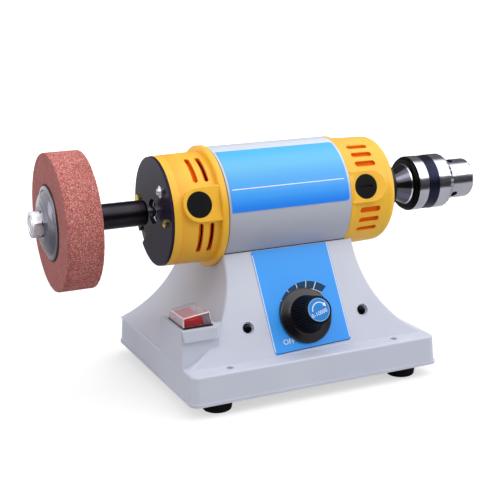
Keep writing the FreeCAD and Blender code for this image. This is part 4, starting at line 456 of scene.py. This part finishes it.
FINISH = {
    "housing": moulded("housing_grey", tone(206, 210, 224), tone(198, 202, 218), 0.46),
    "plate": moulded("plate_grey", tone(150, 152, 158), tone(138, 140, 146), 0.4),
    "rubber": moulded("black_rubber", tone(9, 9, 11), tone(6, 6, 8), 0.74, 900.0, 0.03, IOR=1.3),
    "zinc": plated("zinc", tone(205, 207, 212), tone(170, 172, 178), 0.28),
    "black_steel": machined("black_steel", tone(40, 38, 42), tone(26, 25, 29), 0.22),
    "brass": plated("brass", tone(236, 216, 112), tone(206, 178, 78), 0.26),
    "copper": plated("copper", tone(212, 130, 86), tone(170, 92, 56), 0.3),
    "knob": moulded("knob_black", tone(9, 8, 10), tone(7, 6, 8), 0.42, 1500.0, 0.006, IOR=1.22),
    "black": moulded("black_plastic", tone(14, 13, 17), tone(10, 10, 13), 0.36, IOR=1.33),
    "red": moulded("rocker_red", tone(255, 66, 72), tone(240, 46, 50), 0.3),
    "board": moulded("board_green", tone(58, 120, 78), tone(44, 100, 62), 0.45),
    "disc": moulded("end_disc", tone(49, 42, 64), tone(41, 35, 55), 0.15, 900.0, 0.002, IOR=1.12),
    "chrome": plated("chrome", tone(224, 224, 232), tone(206, 206, 216), 0.12),
    "steel": machined("ground_steel", tone(220, 220, 228), tone(190, 190, 200), 0.2),
    "band": machined("knurled_band", tone(46, 48, 70), tone(24, 25, 36), 0.3),
    "lamination": machined("stacked_sheet", tone(120, 120, 126), tone(90, 90, 96), 0.42, 0.02),
    "carbon": moulded("carbon", tone(58, 58, 60), tone(44, 44, 46), 0.6),
    "wheel": abrasive("bonded_grit", tone(196, 108, 103), tone(240, 172, 162), tone(126, 60, 55),
                      tone(164, 106, 104)),
    "panel": moulded("panel_blue", tone(50, 162, 255), tone(42, 154, 254), 0.42, 1200.0, 0.002),
    "print_white": moulded("print_white", tone(240, 246, 252), tone(232, 240, 248), 0.4),
    "print_navy": moulded("print_navy", tone(18, 66, 104), tone(14, 58, 96), 0.45, IOR=1.3),
    # dark colour that paints shadow under the plate's lower edge and under the knob
    "painted_shadow_dark": moulded("painted_shadow_dark", tone(24, 44, 78), tone(20, 38, 68), 0.45),
    # the skirt's purple-grey black is a painted sheen, lighter than the grip's black
    "skirt": moulded("skirt_black_painted_sheen", tone(20, 16, 25), tone(15, 12, 19), 0.24, 1500.0, 0.004, IOR=1.5),
    "brush": moulded("brush_cap_black", tone(13, 12, 14), tone(9, 8, 10), 0.34, 1200.0, 0.004, IOR=1.34),
    "oxide": moulded("black_oxide", tone(10, 10, 13), tone(8, 8, 10), 0.3, 900.0, 0.004, IOR=1.16),
    # orange of the strips in the vent slots: painted glow
    "slot_glow": moulded("slot_glow_orange", tone(236, 112, 4), tone(222, 100, 3), 0.6, IOR=1.2),
    # grey of the gap between tube and left cap: painted shade
    "gap": moulded("gap_painted_shade", tone(130, 116, 112), tone(112, 100, 96), 0.7),
    "dial_rim": moulded("dial_rim", tone(150, 190, 226), tone(140, 182, 220), 0.4, 1200.0, 0.002),
    # dark ring round the flange: painted shadow
    "flange_shadow": moulded("flange_painted_shadow", tone(66, 30, 30), tone(52, 22, 22), 0.8, 900.0, 0.03),
    "tooth": machined("tooth_steel", tone(150, 150, 160), tone(112, 112, 122), 0.34, 0.01),
    "dial_blue": moulded("dial_blue", tone(46, 136, 214), tone(38, 128, 208), 0.5, 1200.0, 0.002, IOR=1.3),
    "flange": machined("polished_flange", tone(120, 118, 128), tone(92, 90, 100), 0.2, 0.004, 1500.0),
    "nut": plated("plated_nut", tone(228, 228, 234), tone(182, 182, 190), 0.24, 0.02),
    "rod": machined("black_rod", tone(58, 53, 60), tone(42, 39, 44), 0.34, 0.004),
    "sleeve": machined("sleeve_steel", tone(206, 206, 216), tone(184, 184, 196), 0.18, 0.003),
    "label": label_film(),
    "white": tube_paint(),
    "clear": clear_plastic("clear_cover", 1.0, (255, 252, 253), 0.0),
    "clear_top": clear_plastic("clear_top", 0.68, (246, 238, 248), 0.05),
    # white edges of the clear cover: painted highlight
    "clear_edge_painted_highlight": clear_plastic("clear_edge_painted_highlight", 0.25, (255, 246, 250), 0.2),
    "yellow": cap_plastic(),
    "core": core_steel(),
    "bezel": bezel_plastic(),
}


# ---------------------------------------------------------------- grinding end
def grinding_wheel():
    """Grinding wheel: its outline turned about the spindle. A seeded relief, mostly under half a
    millimetre, of |n + 0.6 (its three neighbours)| is taken from the rim, and less from the faces."""
    lip, bore_r = 7.0, 6.2
    outline = divide(soften([(WHEEL_X0, lip, 0), (WHEEL_X0, WHEEL_R, 1.1), (WHEEL_X1, WHEEL_R, 1.1),
                             (WHEEL_X1, lip, 0)]), 0.62)
    sectors = 460
    rng = np.random.default_rng(11)
    middle = (WHEEL_X0 + WHEEL_X1) / 2

    def grit(h, r, a):
        rows, cols = h.shape
        raw = rng.normal(size=(rows, cols - 1))
        soft = raw + 0.6 * (np.roll(raw, 1, 0) + np.roll(raw, 1, 1) + np.roll(raw, (1, 1), (0, 1)))
        depth = 0.16 * np.abs(soft) / 1.8
        depth = np.concatenate([depth, depth[:, :1]], 1)
        rim = np.clip(r - WHEEL_R + 1.5, 0, 1)
        face = np.clip(np.abs(h - middle) - 12.0, 0, 1)
        return h - np.sign(h - middle) * depth * face * 0.55, r - depth * 1.5 * rim
    surface = lathe(SPINDLE, outline, sectors, grit)
    bore = lathe(SPINDLE, [(WHEEL_X0, lip), (WHEEL_X0, bore_r), (WHEEL_X1, bore_r), (WHEEL_X1, lip)], sectors)
    add_piece("wheel_stone", [surface, bore], [FINISH["wheel"]], "spindle",
              ("grinding_wheel",), 60.0)


def wheel_fixings():
    """Dished flange, a dark ring round it that paints the flange's shadow on the wheel, hexagon nut and
    extension rod, turned about the spindle.
    """
    x = WHEEL_X0
    flange = soften([(x + 0.02, 6.05, 0), (x + 0.02, 26.8, 0.3), (x - 1.2, 26.8, 0.5),
                     (x - 1.7, 24.4, 0.4), (x - 1.5, 23.8, 0.3), (x - 2.5, 23.0, 0.6),
                     (x - 4.6, 20.2, 2.0), (x - 5.5, 16.6, 1.6), (x - 6.6, 13.2, 1.4),
                     (x - 6.6, 6.05, 0)], 7)
    add_piece("wheel_flange", [lathe(SPINDLE, flange, 128)], [FINISH["flange"]], "spindle",
              ("outer_flange",))
    # painted shadow: a thin dark ring on the wheel just outside the flange's rim
    shadow_ring = [(x + 0.05, 26.7), (x - 0.35, 26.7), (x - 0.35, 27.9), (x + 0.05, 28.0), (x + 0.05, 26.7)]
    add_piece("flange_painted_shadow", [lathe(SPINDLE, shadow_ring, 128)], [FINISH["flange_shadow"]], "spindle", ())

    x0, x1 = NUT_X0, NUT_X1
    nut = [(x0 + 0.5, 6.0), (x0, 6.5), (x0, 9.1), (x0 + 0.2, 9.55), (x0 + 0.6, 10.1), (x0 + 1.1, 10.6),
           (x0 + 1.6, 10.97), (x0 + 2.2, 11.2), (x1 - 1.1, 11.2), (x1 - 0.5, 10.6), (x1, 9.9), (x1, 6.0)]

    half_flats, side_turn = 9.5, math.radians(47)

    def hexagon(h, r, a):
        return h, crown(a - side_turn, half_flats, r)
    add_piece("wheel_hex_nut", [lathe(SPINDLE, nut, 180, hexagon)], [FINISH["nut"]], "spindle",
              ("wheel_nut",), 24.0)

    shoulder, end, socket = -142.7, -101.5, -127.5
    rod = soften([(NUT_X0, 0, 0), (NUT_X0, 5.2, 0.2), (NUT_X0 + 0.8, THREAD_R, 0.3),
                  (shoulder, THREAD_R, 0), (shoulder, ROD_R, 0.3), (end, ROD_R, 2.6), (end, 4.1, 0.4),
                  (socket, 4.1, 0), (socket, 0, 0)], 7)
    plated_end = np.repeat(rod[1:, 0] < shoulder - 0.3, 96).astype(int)
    add_piece("extension_rod", [lathe(SPINDLE, rod, 96) + (plated_end,)], [FINISH["rod"], FINISH["nut"]],
              "spindle", ("wheel_arbor",))


# ---------------------------------------------------------------- motor
def motor_tube():
    """White tube with rolled ends, and the film with its white line wrapped on the upper front."""
    inner = 42.0
    outline = soften([(TUBE_X0, inner, 0), (TUBE_X0, TUBE_R, 0.5), (TUBE_X1, TUBE_R, 0.5),
                      (TUBE_X1, inner, 0), (TUBE_X0, inner, 0)])
    add_piece("tube_shell", [lathe(SPINDLE, outline, 256)], [FINISH["white"]], "housing", ("motor_tube",))
    u, v = rounded_sheet(-50.6, 46.0, 19.0, 87.5, (1.0, 3.0), 40, 60)
    add_piece("tube_film", [plate_on(on_tube, u, v, 0.04, 0.33)], [FINISH["label"]], "housing",
              ("motor_label",), 50.0)
    u, v = rounded_sheet(-48.9, 43.2, 65.6, 66.4, (0.2, 0.2), 40, 3)
    add_piece("film_line", [plate_on(on_tube, u, v, 0.32, 0.37)], [FINISH["print_white"]], "housing",
              (), 50.0)


def slot_glow_sheets():
    """Slanting orange strips under the vent slots, a painted glow of light through the yellow plastic:
    sheets round the drum at a lower radius, which leave part of each slot open to the inside."""
    # first and last turn, first and last x, height at the first x, and its fall along x
    slanting = ((20.5, 51.5, -75.9, -71.1, -4.9, 0.25), (20.5, 51.5, -67.6, -65.0, -4.0, 0.45),
                (97.0, 129.0, -75.9, -73.0, -4.0, 0.45), (97.0, 129.0, -67.6, -64.9, -4.0, 0.45))
    thick, low, high, half = 0.6, -5.2, -4.6, 3.7
    strips = []
    for flip in (0.0, 180.0):
        for t0, t1, x0, x1, top, fall in slanting:
            u, v = rounded_sheet(x0, x1, t0 + flip, t1 + flip, (0.1, 0.1), 4, 24)
            strips.append(plate_on(on_tube, u, v, top - thick - fall * (u - x0), top - fall * (u - x0)))
        for turn in (27.0, 39.2, 51.0, 101.0, 112.8, 125.0):
            u, v = rounded_sheet(56.6, 75.8, turn + flip - half, turn + flip + half, (0.1, 0.1), 4, 10)
            strips.append(plate_on(on_tube, u, v, low, high))
    # painted glow: the strips' orange stands in for light glowing through the caps' plastic
    add_piece("slot_glow_sheets", strips, [FINISH["slot_glow"]], "housing", (), 50.0)


def gap_shades_and_screw_rims():
    """Dark bead where the tube lies in its saddle and a grey ring in the gap between tube and
    left cap, both painted shade in those gaps, and raised rims round the panel's screws."""
    beads = []
    # painted shade: dark beads along the saddle's edges where the tube meets it
    for t0, t1 in ((133.5, 134.9), (-115.9, -114.5)):
        u, v = rounded_sheet(TUBE_X0 + 0.1, TUBE_X1 - 0.1, t0, t1, (0.1, 0.1), 40, 4)
        beads.append(plate_on(on_tube, u, v, -0.03, 0.3))
    # painted shade: a grey ring in the gap between the tube and the left cap
    low, high = TUBE_R - 0.1, TUBE_R + 0.1
    end = TUBE_X0 + 1.4
    outline = [(TUBE_X0, low), (TUBE_X0, high), (end, high), (end, low), (TUBE_X0, low)]
    beads.append(lathe(SPINDLE, outline, 256) + (1,))
    add_piece("saddle_painted_shade", beads, [FINISH["rubber"], FINISH["gap"]], "housing", (), 50.0)
    outline = soften([(-0.4, 4.45, 0), (0.3, 4.55, 0.2), (0.3, 5.0, 0.2), (-0.1, 5.4, 0), (-0.4, 5.4, 0),
                      (-0.4, 4.45, 0)], 4)
    middle, apart, up = 2.0, 47.9, 23.8
    screws = [on_panel(middle + side * apart, up, 0.0) for side in (-1, 1)]
    rims = [lathe(turn_line(place, PANEL_NORMAL, X), outline, 64) for place in screws]
    add_piece("screw_rims", rims, [FINISH["housing"]], "housing", (), 40.0)


# ---------------------------------------------------------------- front panel
def front_panel():
    """Blue plate with its white side lines, a dark lower line painted as shadow under its edge, speed wedges,
    a dark arc painted as the knob's shadow, and OFF mark. Its upper edge stays level: over the last 12 mm the
    plate's turn is taken back."""
    low, top, crest, level = 1.7, 78.4, 79.6, 12
    film = PANEL_T - 0.02
    u, v = rounded_sheet(-30.0, 34.0, low, top, (1.8, 1.8), 12, 30)
    rise = crest - top - (u - DIAL_AT[0]) * math.tan(PLATE_TURN)
    v = v + np.clip((v - top + level) / level, 0, 1) * rise
    add_piece("panel_plate", [plate_on(on_plate, u, v, 0.0, PANEL_T)], [FINISH["panel"]], "housing",
              ("panel_label",), 50.0)
    lines = []
    for across in (-29.7, 33.1):
        u, v = rounded_sheet(across, across + 0.6, low + 2.3, top - 0.6, (0.1, 0.1), 2, 3)
        lines.append(plate_on(on_plate, u, v, film, PANEL_T + 0.03) + (0,))
    # painted shadow: a dark line along the plate's lower edge
    u, v = rounded_sheet(-28.5, 33.0, low + 0.25, low + 0.8, (0.1, 0.1), 2, 3)
    lines.append(plate_on(on_plate, u, v, film, PANEL_T + 0.03) + (1,))
    add_piece("panel_lines", lines, [FINISH["print_white"], FINISH["painted_shadow_dark"]], "housing", (),
              50.0)

    centre = np.array(DIAL_AT)
    outer_middle, outer_r = (6.32, 25.77), 26.2
    line_middle, line_r = (5.1, 25.5), 20.5
    wedge_r = 21.1

    def reach(turn, middle, radius):
        """Distance from the dial's middle to a circle about another middle, at each turn."""
        shift = np.array(middle) - centre
        along = shift[0] * np.cos(turn) + shift[1] * np.sin(turn)
        return along + np.sqrt(radius ** 2 - shift @ shift + along ** 2)

    def wedge(start, end, inner, high, width=None, middle=KNOB_AT):
        """Part of the dial's band between two turns, from an inner circle out to the outer
        circle or to a width."""
        turn = np.radians(np.linspace(start, end, 14))[:, None]
        near = reach(turn, middle, inner)
        far = reach(turn, outer_middle, outer_r) if width is None else near + width
        r = near + np.linspace(0, 1, 4)[None, :] * (far - near)
        return plate_on(on_panel, centre[0] + r * np.cos(turn), centre[1] + r * np.sin(turn), film, high)
    marks = (39.6, 59.0, 76.9, 97.3, 119.8, 144.7)
    half = 0.7
    wedges = [wedge(a + half, b - half, wedge_r, PANEL_T + 0.04) + (0,)
              for a, b in zip(marks, marks[1:])]
    wedges += [wedge(a - half, a + half, wedge_r, PANEL_T + 0.03) + (1,) for a in marks[1:]]
    wedges.append(wedge(marks[0], 101.0, line_r, PANEL_T + 0.05, 0.45, line_middle) + (1,))
    # painted shadow: the dial's band runs on, dark, as the knob's shadow
    wedges.append(wedge(145.4, 192.0, 21.0, PANEL_T + 0.04) + (2,))
    add_piece("speed_wedges", wedges, [FINISH["print_navy"], FINISH["print_white"], FINISH["painted_shadow_dark"]],
              "housing", (), 50.0)
    write("off_mark", "OFF", 5.6, -21.0, 7.2, 0.0, PANEL_T, "housing")


def write(name, words, size, across, up, turn, out, body):
    """Flat lettering on the front or on a face parallel to it."""
    thick = 0.02
    curve = bpy.data.curves.new(name, "FONT")
    curve.body = words
    curve.size = size * MM
    curve.extrude = thick * MM
    curve.resolution_u = 3
    flat = bpy.data.objects.new(name, curve)
    mesh = bpy.data.meshes.new_from_object(flat)
    bpy.data.objects.remove(flat)
    points = np.empty(len(mesh.vertices) * 3, np.float32)
    mesh.vertices.foreach_get("co", points)
    p = points.reshape(-1, 3).astype(float) / MM
    c, s = math.cos(math.radians(turn)), math.sin(math.radians(turn))
    placed = on_panel(across + c * p[:, 0] - s * p[:, 1], up + s * p[:, 0] + c * p[:, 1],
                      out + thick + p[:, 2])
    mesh.vertices.foreach_set("co", (placed * MM).astype(np.float32).ravel())
    return finish_piece(name, mesh, [FINISH["print_white"]], body, (), 30.0)


def speed_knob():
    """Knob: skirt, cone and fluted grip turned about the panel's normal; the flutes take
    depth (1 - |cos(n a / 2)|^0.6) from the grip's radius. A printed disc lies on its face."""
    flutes, depth = 34, 1.1
    grip_low, grip_high = 5.9, 24.1
    sectors = flutes * 12
    solid = soften([(17, 0, 0), (17, 3.0, 0), (5, 3.0, 0), (5, 4.9, 0), (0.8, 4.9, 0), (0.8, 7, 0),
                    (6.1, 7, 0), (6.1, 10.7, 0), (2.8, 18, 0), (0.8, 19, 0), (0.8, 21, 0.3),
                    (2.3, 21, 0.5), (2.9, 20.3, 0.5), (5.2, 15.0, 1.0), (5.7, 14.3, 0.3),
                    (6.2, 14.0, 0.2), (23.8, 10.7, 0.3), (24.8, 9.9, 0.5), (24.8, 8.95, 0.1),
                    (24.0, 8.95, 0), (24.0, 0, 0)], 6)
    solid = divide(solid, 1.2)

    def fluted(h, r, a):
        inside = np.clip((h - grip_low) / 0.5, 0, 1) * np.clip((grip_high - h) / 0.7, 0, 1) * (r > 10.0)
        return h, r - inside * depth * (1 - np.abs(np.cos(flutes * a / 2)) ** 0.6)
    # the skirt's faces take the painted sheen finish
    skirt = (np.maximum(solid[1:, 0], solid[:-1, 0]) < 5.6) & (solid[1:, 1] > 12.0)
    skirt = np.repeat(skirt.astype(int), sectors)
    add_piece("knob_body", [lathe(KNOB_LINE, solid, sectors, fluted) + (skirt,)],
              [FINISH["knob"], FINISH["skirt"]], "knob", ("speed_knob",), 28.0)

    top = 24.9
    disc = soften([(24.0, 0, 0), (24.0, 8.85, 0), (top, 8.85, 0.25), (top, 0, 0)])
    add_piece("knob_face", [lathe(KNOB_LINE, disc, 96)], [FINISH["dial_blue"]], "knob", ("knob_disc",))
    low, high = top - 0.01, top + 0.03
    middle = np.array(KNOB_AT) + (0.5, -0.3)

    def around(r, a):
        return plate_on(on_panel, middle[0] + r * np.cos(a), middle[1] + r * np.sin(a), low, high)
    rim = lathe(KNOB_LINE, [(low, 8.1), (high, 8.1), (high, 8.5), (low, 8.5), (low, 8.1)], 96)
    arc = np.radians(np.linspace(186, 44, 30))[None, :]
    shaft = around(np.linspace(5.4, 6.1, 3)[:, None], arc)
    half = np.linspace(1, 0, 8)[None, :]
    side = np.linspace(-1, 1, 3)[:, None]
    head = around(5.75 + side * 1.5 * half, np.radians(18 + 30 * half))
    add_piece("knob_arrow", [rim + (1,), shaft, head], [FINISH["print_white"], FINISH["dial_rim"]],
              "knob", (), 50.0)
    write("knob_numbers", "0-10000", 4.1, KNOB_AT[0] - 6.4, KNOB_AT[1] - 5.6, 15.0, top, "knob")


# ---------------------------------------------------------------- drill chuck
def chuck_parts():
    """Toothed sleeve, its rear ring and the neck behind it, turned about the spindle. The
    bevel's n teeth take depth (1 - |cos(n a / 2)|^1.1) from its radius and run out through
    the sleeve's edge; the band's knurl is two crossed waves. The rear edge is black."""
    x0, x1, front = 123.3, 154.7, 159.3
    sleeve_r, band_r, inner_r, nose_r = 22.2, 21.95, 20.05, 16.2
    sectors = 600
    teeth, tooth_depth = 30, 2.1
    ridges, slant, knurl_depth = 150, 2.1, 0.16
    outline = soften([(x0, inner_r, 0), (x0, sleeve_r, 0.9), (x0 + 9.3, sleeve_r, 0.15),
                      (x0 + 9.35, band_r, 0), (x0 + 19.35, band_r, 0), (x0 + 19.4, sleeve_r, 0.15),
                      (x1, sleeve_r, 0.4), (front, 17.7, 0.4), (front, nose_r, 0), (x1 + 0.3, nose_r, 0),
                      (x1 + 0.3, inner_r, 0), (x0, inner_r, 0)], 5)
    outline = divide(outline, 0.45)
    low, high = np.minimum(outline[:-1], outline[1:]), np.maximum(outline[:-1], outline[1:])
    knurled = (low[:, 0] > x0 + 9.2) & (high[:, 0] < x0 + 19.5) & (outline[:-1, 1] > 21.0)
    bevelled = (low[:, 0] > x1 - 0.9) & (low[:, 1] > 17.0)
    rear = high[:, 0] < x0 + 0.75
    finish = np.repeat(knurled + 2 * bevelled + 3 * rear, sectors)

    def cutwork(h, r, a):
        band = (h > x0 + 9.6) & (h < x0 + 19.1) & (r > 19.0)
        left, right = np.cos(ridges * a + slant * h), np.cos(ridges * a - slant * h)
        knurl = knurl_depth * (0.5 + 0.25 * left + 0.25 * right)
        bevel = np.clip((h - x1 + 1.2) / 0.8, 0, 1) * ((r > 21.5) | (r + h > front + 17.2))
        bevel = bevel * np.clip((front + 0.2 - h) / 0.8, 0.35, 1)
        tooth = tooth_depth * (1 - np.abs(np.cos(teeth * a / 2)) ** 1.1)
        return h - bevel * tooth * 0.6, r - band * knurl - bevel * tooth * 0.75
    add_piece("key_sleeve", [lathe(SPINDLE, outline, sectors, cutwork) + (finish,)],
              [FINISH["sleeve"], FINISH["band"], FINISH["tooth"], FINISH["oxide"]], "chuck_sleeve",
              ("chuck_sleeve",), 38.0)
    ring = soften([(120.6, 16.75, 0), (120.6, 19.9, 0.4), (122.0, 21.3, 0.7), (123.0, 21.3, 0.3),
                   (123.0, 16.75, 0), (120.6, 16.75, 0)], 5)
    add_piece("sleeve_ring", [lathe(SPINDLE, ring, 128)], [FINISH["oxide"]], "spindle", ("chuck_rear_ring",))
    neck = soften([(90.5, 8.6, 0), (90.5, 19.8, 0.2), (104.0, 19.8, 1.4), (104.0, 13.0, 0.3),
                   (102.0, 12.0, 0.3), (102.0, 8.6, 0), (90.5, 8.6, 0)], 5)
    add_piece("neck_ring", [lathe(SPINDLE, neck, 128)], [FINISH["black"]], "housing", ("bearing_cover",))


# ---------------------------------------------------------------- feet
def feet():
    """Four turned rubber feet with a recess for the screw."""
    outline = soften([(9.0, 2.0, 0), (9.0, 11.8, 0.4), (0.0, 10.4, 1.6), (0.0, 4.6, 0.5),
                      (4.0, 4.6, 0.3), (4.0, 2.0, 0), (9.0, 2.0, 0)], 5)
    foot_x, foot_y = 77.0, 69.0
    places = [(sx * foot_x, sy * foot_y, 0) for sx in (-1, 1) for sy in (-1, 1)]
    parts = [lathe(turn_line(place, Z, X), outline, 64) for place in places]
    add_piece("turned_feet", parts, [FINISH["rubber"]], "housing", ("rubber_feet",))


# ---------------------------------------------------------------- carried solids
NODE_FINISH = {
    "base_shell": "housing", "left_end_cap": "yellow", "right_end_cap": "yellow", "chuck_body": "core",
    "switch_rocker": "red", "switch_cover": "clear", "base_plate": "plate", "foot_screws": "zinc",
    "panel_screws": "black_steel", "potentiometer": "zinc", "pot_shaft": "brass", "switch_body": "black",
    "cord_gland": "rubber", "control_board": "board", "saddle_screws": "zinc", "end_plate": "disc",
    "end_plate_screws": "brass", "earth_screw": "nut", "cap_plugs": "black", "brush_caps": "brush",
    "brush_holders": "brass", "carbon_brushes": "carbon", "brush_springs": "zinc",
    "stator_core": "lamination", "field_coils": "copper", "tie_bolts": "zinc",
    "left_bearing_outer": "chrome", "left_bearing_inner": "chrome", "right_bearing_outer": "chrome",
    "right_bearing_inner": "chrome", "motor_shaft": "steel", "armature_core": "lamination",
    "armature_winding": "copper", "commutator": "copper", "cooling_fan": "black",
    "arbor_set_screw": "black_steel", "inner_flange": "rod", "chuck_adapter": "rod", "chuck_nut": "steel",
    "chuck_jaw_1": "steel", "chuck_jaw_2": "steel", "chuck_jaw_3": "steel",
}


def carried_nodes():
    """Solids that keep their own mesh get their finish. The top of the switch's body is bezel,
    apart from what faces down, and the cover is milky on its top and ends, with a painted
    highlight in white along its rounded edges. Heights are metres."""
    for node, finish in NODE_FINISH.items():
        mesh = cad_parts[node].data
        mesh.materials.clear()
        mesh.materials.append(FINISH[finish])
    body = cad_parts["switch_body"].data
    body.materials.append(FINISH["bezel"])
    bezel_height, downward = 0.0016, -0.6
    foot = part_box("switch_body")[1][2] - bezel_height
    for face in body.polygons:
        face.material_index = int(face.normal.z > downward and face.center.z > foot)
    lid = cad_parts["switch_cover"].data
    # painted highlight: the rounded edges of the cover are milky white
    lid.materials.append(FINISH["clear_edge_painted_highlight"])
    lid.materials.append(FINISH["clear_top"])
    flat, level, top = 0.955, 0.9, 0.064
    for face in lid.polygons:
        edge = max(abs(c) for c in face.normal) < flat
        milky = (face.normal.z > level and face.center.z > top) or abs(face.normal.x) > level
        face.material_index = 1 if edge else 2 * milky


# ---------------------------------------------------------------- studio
def surroundings():
    """World that is white to the camera, in gloss and through glass, and softer as light."""
    soft = 0.42
    world = bpy.data.worlds.new("surroundings")
    world.use_nodes = True
    bpy.context.scene.world = world
    tree = world.node_tree
    back = tree.nodes["Background"]
    back.inputs[0].default_value = (1, 1, 1, 1)
    path = tree.nodes.new("ShaderNodeLightPath")

    def join(operation, first, second):
        node = tree.nodes.new("ShaderNodeMath")
        node.operation = operation
        for socket, value in zip(node.inputs, (first, second)):
            if isinstance(value, float):
                socket.default_value = value
            else:
                tree.links.new(value, socket)
        return node.outputs[0]
    seen = join("MAXIMUM", path.outputs["Is Camera Ray"], path.outputs["Is Transmission Ray"])
    seen = join("MAXIMUM", seen, path.outputs["Is Glossy Ray"])
    level = join("ADD", join("MULTIPLY", seen, 1 - soft), soft)
    tree.links.new(level, back.inputs[1])


def studio_floor():
    """Pale floor that keeps the shadow and runs out to white away from the machine."""
    ground = Finish("studio_floor", Roughness=1.0, Specular_IOR_Level=0.0, Emission_Color=(1, 1, 1, 1))
    ground.link(ground.blend(ground.noise(3.0), (0.46, 0.46, 0.47, 1), (0.48, 0.48, 0.485, 1)), "Base Color")
    path = ground.tree.nodes.new("ShaderNodeLightPath")
    mirrored = ground.math("MAXIMUM", path.outputs["Is Glossy Ray"], path.outputs["Is Transmission Ray"])
    away = ground.add("VectorMath", {0: ground.place}, 1, operation="LENGTH")
    near = ground.math("MULTIPLY", path.outputs["Is Camera Ray"], ground.span(away, 0.58, 1.0, 0.3, 1.0))
    far = ground.math("MULTIPLY", mirrored, ground.span(away, 0.0, 1.0, 0.5, 1.4))
    ground.link(ground.math("ADD", near, far), "Emission Strength")
    top, thick, radius = -0.4, 10, 6000.0
    disc = lathe(turn_line((0, 0, top), Z, X), [(0, 0), (0, radius), (-thick, radius), (-thick, 0)], 64)
    mesh = bpy.data.meshes.new("studio_floor")
    mesh.from_pydata((disc[0] * MM).tolist(), [], disc[1].tolist())
    mesh.materials.append(ground.material)
    floor = bpy.data.objects.new("studio_floor", mesh)
    bpy.context.scene.collection.objects.link(floor)
    return floor


def dark_cards():
    """Two dark cards, upright before the machine and slanting behind it, seen only in gloss:
    they draw the dark edges in the metal."""
    corners = [[-0.6, -0.34, 0.0], [0.9, -0.34, 0.0], [0.9, -0.34, 0.31], [-0.6, -0.34, 0.31],
               [-0.3, 0.2, 1.7], [2.4, 0.2, 1.7], [2.4, 1.6, 0.1], [-0.3, 1.6, 0.1]]
    mesh = bpy.data.meshes.new("dark_card")
    mesh.from_pydata(corners, [], [[0, 1, 2, 3], [4, 5, 6, 7]])
    for name, low, high in (("front_card", 0.010, 0.016), ("back_card", 0.09, 0.11)):
        paper = Finish(name, Roughness=1.0)
        paper.link(paper.blend(paper.noise(2.0), (low, low, low * 1.1, 1), (high, high, high * 1.1, 1)),
                   "Base Color")
        mesh.materials.append(paper.material)
    mesh.polygons[1].material_index = 1
    card = bpy.data.objects.new("dark_card", mesh)
    card.visible_camera = False
    card.visible_diffuse = False
    card.visible_shadow = False
    bpy.context.scene.collection.objects.link(card)
    return card


def lamps():
    """Soft lamps: name, place, aim, sides in metres and watts."""
    for name, place, aim, size, power in (
            ("key", (-1.0, -0.65, 1.5), (0.0, 0.0, 0.1), (0.9, 0.9), 5.6),
            ("fill", (1.3, -1.0, 0.7), (0.05, 0.0, 0.1), (1.0, 1.0), 5.6),
            ("top", (0.6, -0.39, 1.21), (0.08, 0.0, 0.13), (1.6, 2.2), 15.2),
            ("rear", (-0.9, 1.2, 0.9), (0.0, 0.0, 0.1), (1.2, 1.2), 1.6),
            ("left", (-1.5, 0.2, 0.7), (0.0, 0.0, 0.1), (0.9, 0.9), 4.4),
            ("back", (1.1, 1.0, 1.2), (0.0, 0.0, 0.1), (1.2, 1.2), 10.5)):
        lamp = bpy.data.lights.new(name, "AREA")
        lamp.shape = "RECTANGLE"
        lamp.size, lamp.size_y = size
        lamp.energy = power
        lamp_object = bpy.data.objects.new(name, lamp)
        spot = Vector(place)
        lamp_object.location = spot
        lamp_object.rotation_euler = (Vector(aim) - spot).to_track_quat("-Z", "Y").to_euler()
        bpy.context.scene.collection.objects.link(lamp_object)


def camera():
    """Camera at a distance from its target, turned to the left, raised and rolled a little."""
    turn, rise, roll = (math.radians(a) for a in (-24.2, 14.11, -1.23))
    target, distance = Vector((-0.01744, 0, 0.095)), 0.8311
    sensor, focus = 36, 2.13726          # focal length in sensor widths
    back_way = Vector((math.sin(turn) * math.cos(rise), -math.cos(turn) * math.cos(rise),
                       math.sin(rise)))
    right = (-back_way).cross(Vector((0, 0, 1))).normalized()
    up = right.cross(-back_way).normalized()
    tilted_right = right * math.cos(roll) + up * math.sin(roll)
    tilted_up = -right * math.sin(roll) + up * math.cos(roll)
    pose = Matrix((tilted_right, tilted_up, back_way)).transposed().to_4x4()
    pose.translation = target + back_way * distance
    lens = bpy.data.cameras.new("camera")
    lens.sensor_width = sensor
    lens.lens = sensor * focus
    view = bpy.data.objects.new("camera", lens)
    view.matrix_world = pose
    bpy.context.scene.collection.objects.link(view)
    bpy.context.scene.camera = view


def studio():
    """Pale floor, white surroundings, dark cards for the metal, soft lamps and the camera."""
    bpy.context.scene.view_settings.view_transform = "Standard"
    surroundings()
    floor = studio_floor()
    card = dark_cards()
    lamps()
    camera()


grinding_wheel()
wheel_fixings()
motor_tube()
slot_glow_sheets()
gap_shades_and_screw_rims()
front_panel()
speed_knob()
chuck_parts()
feet()
carried_nodes()
studio()
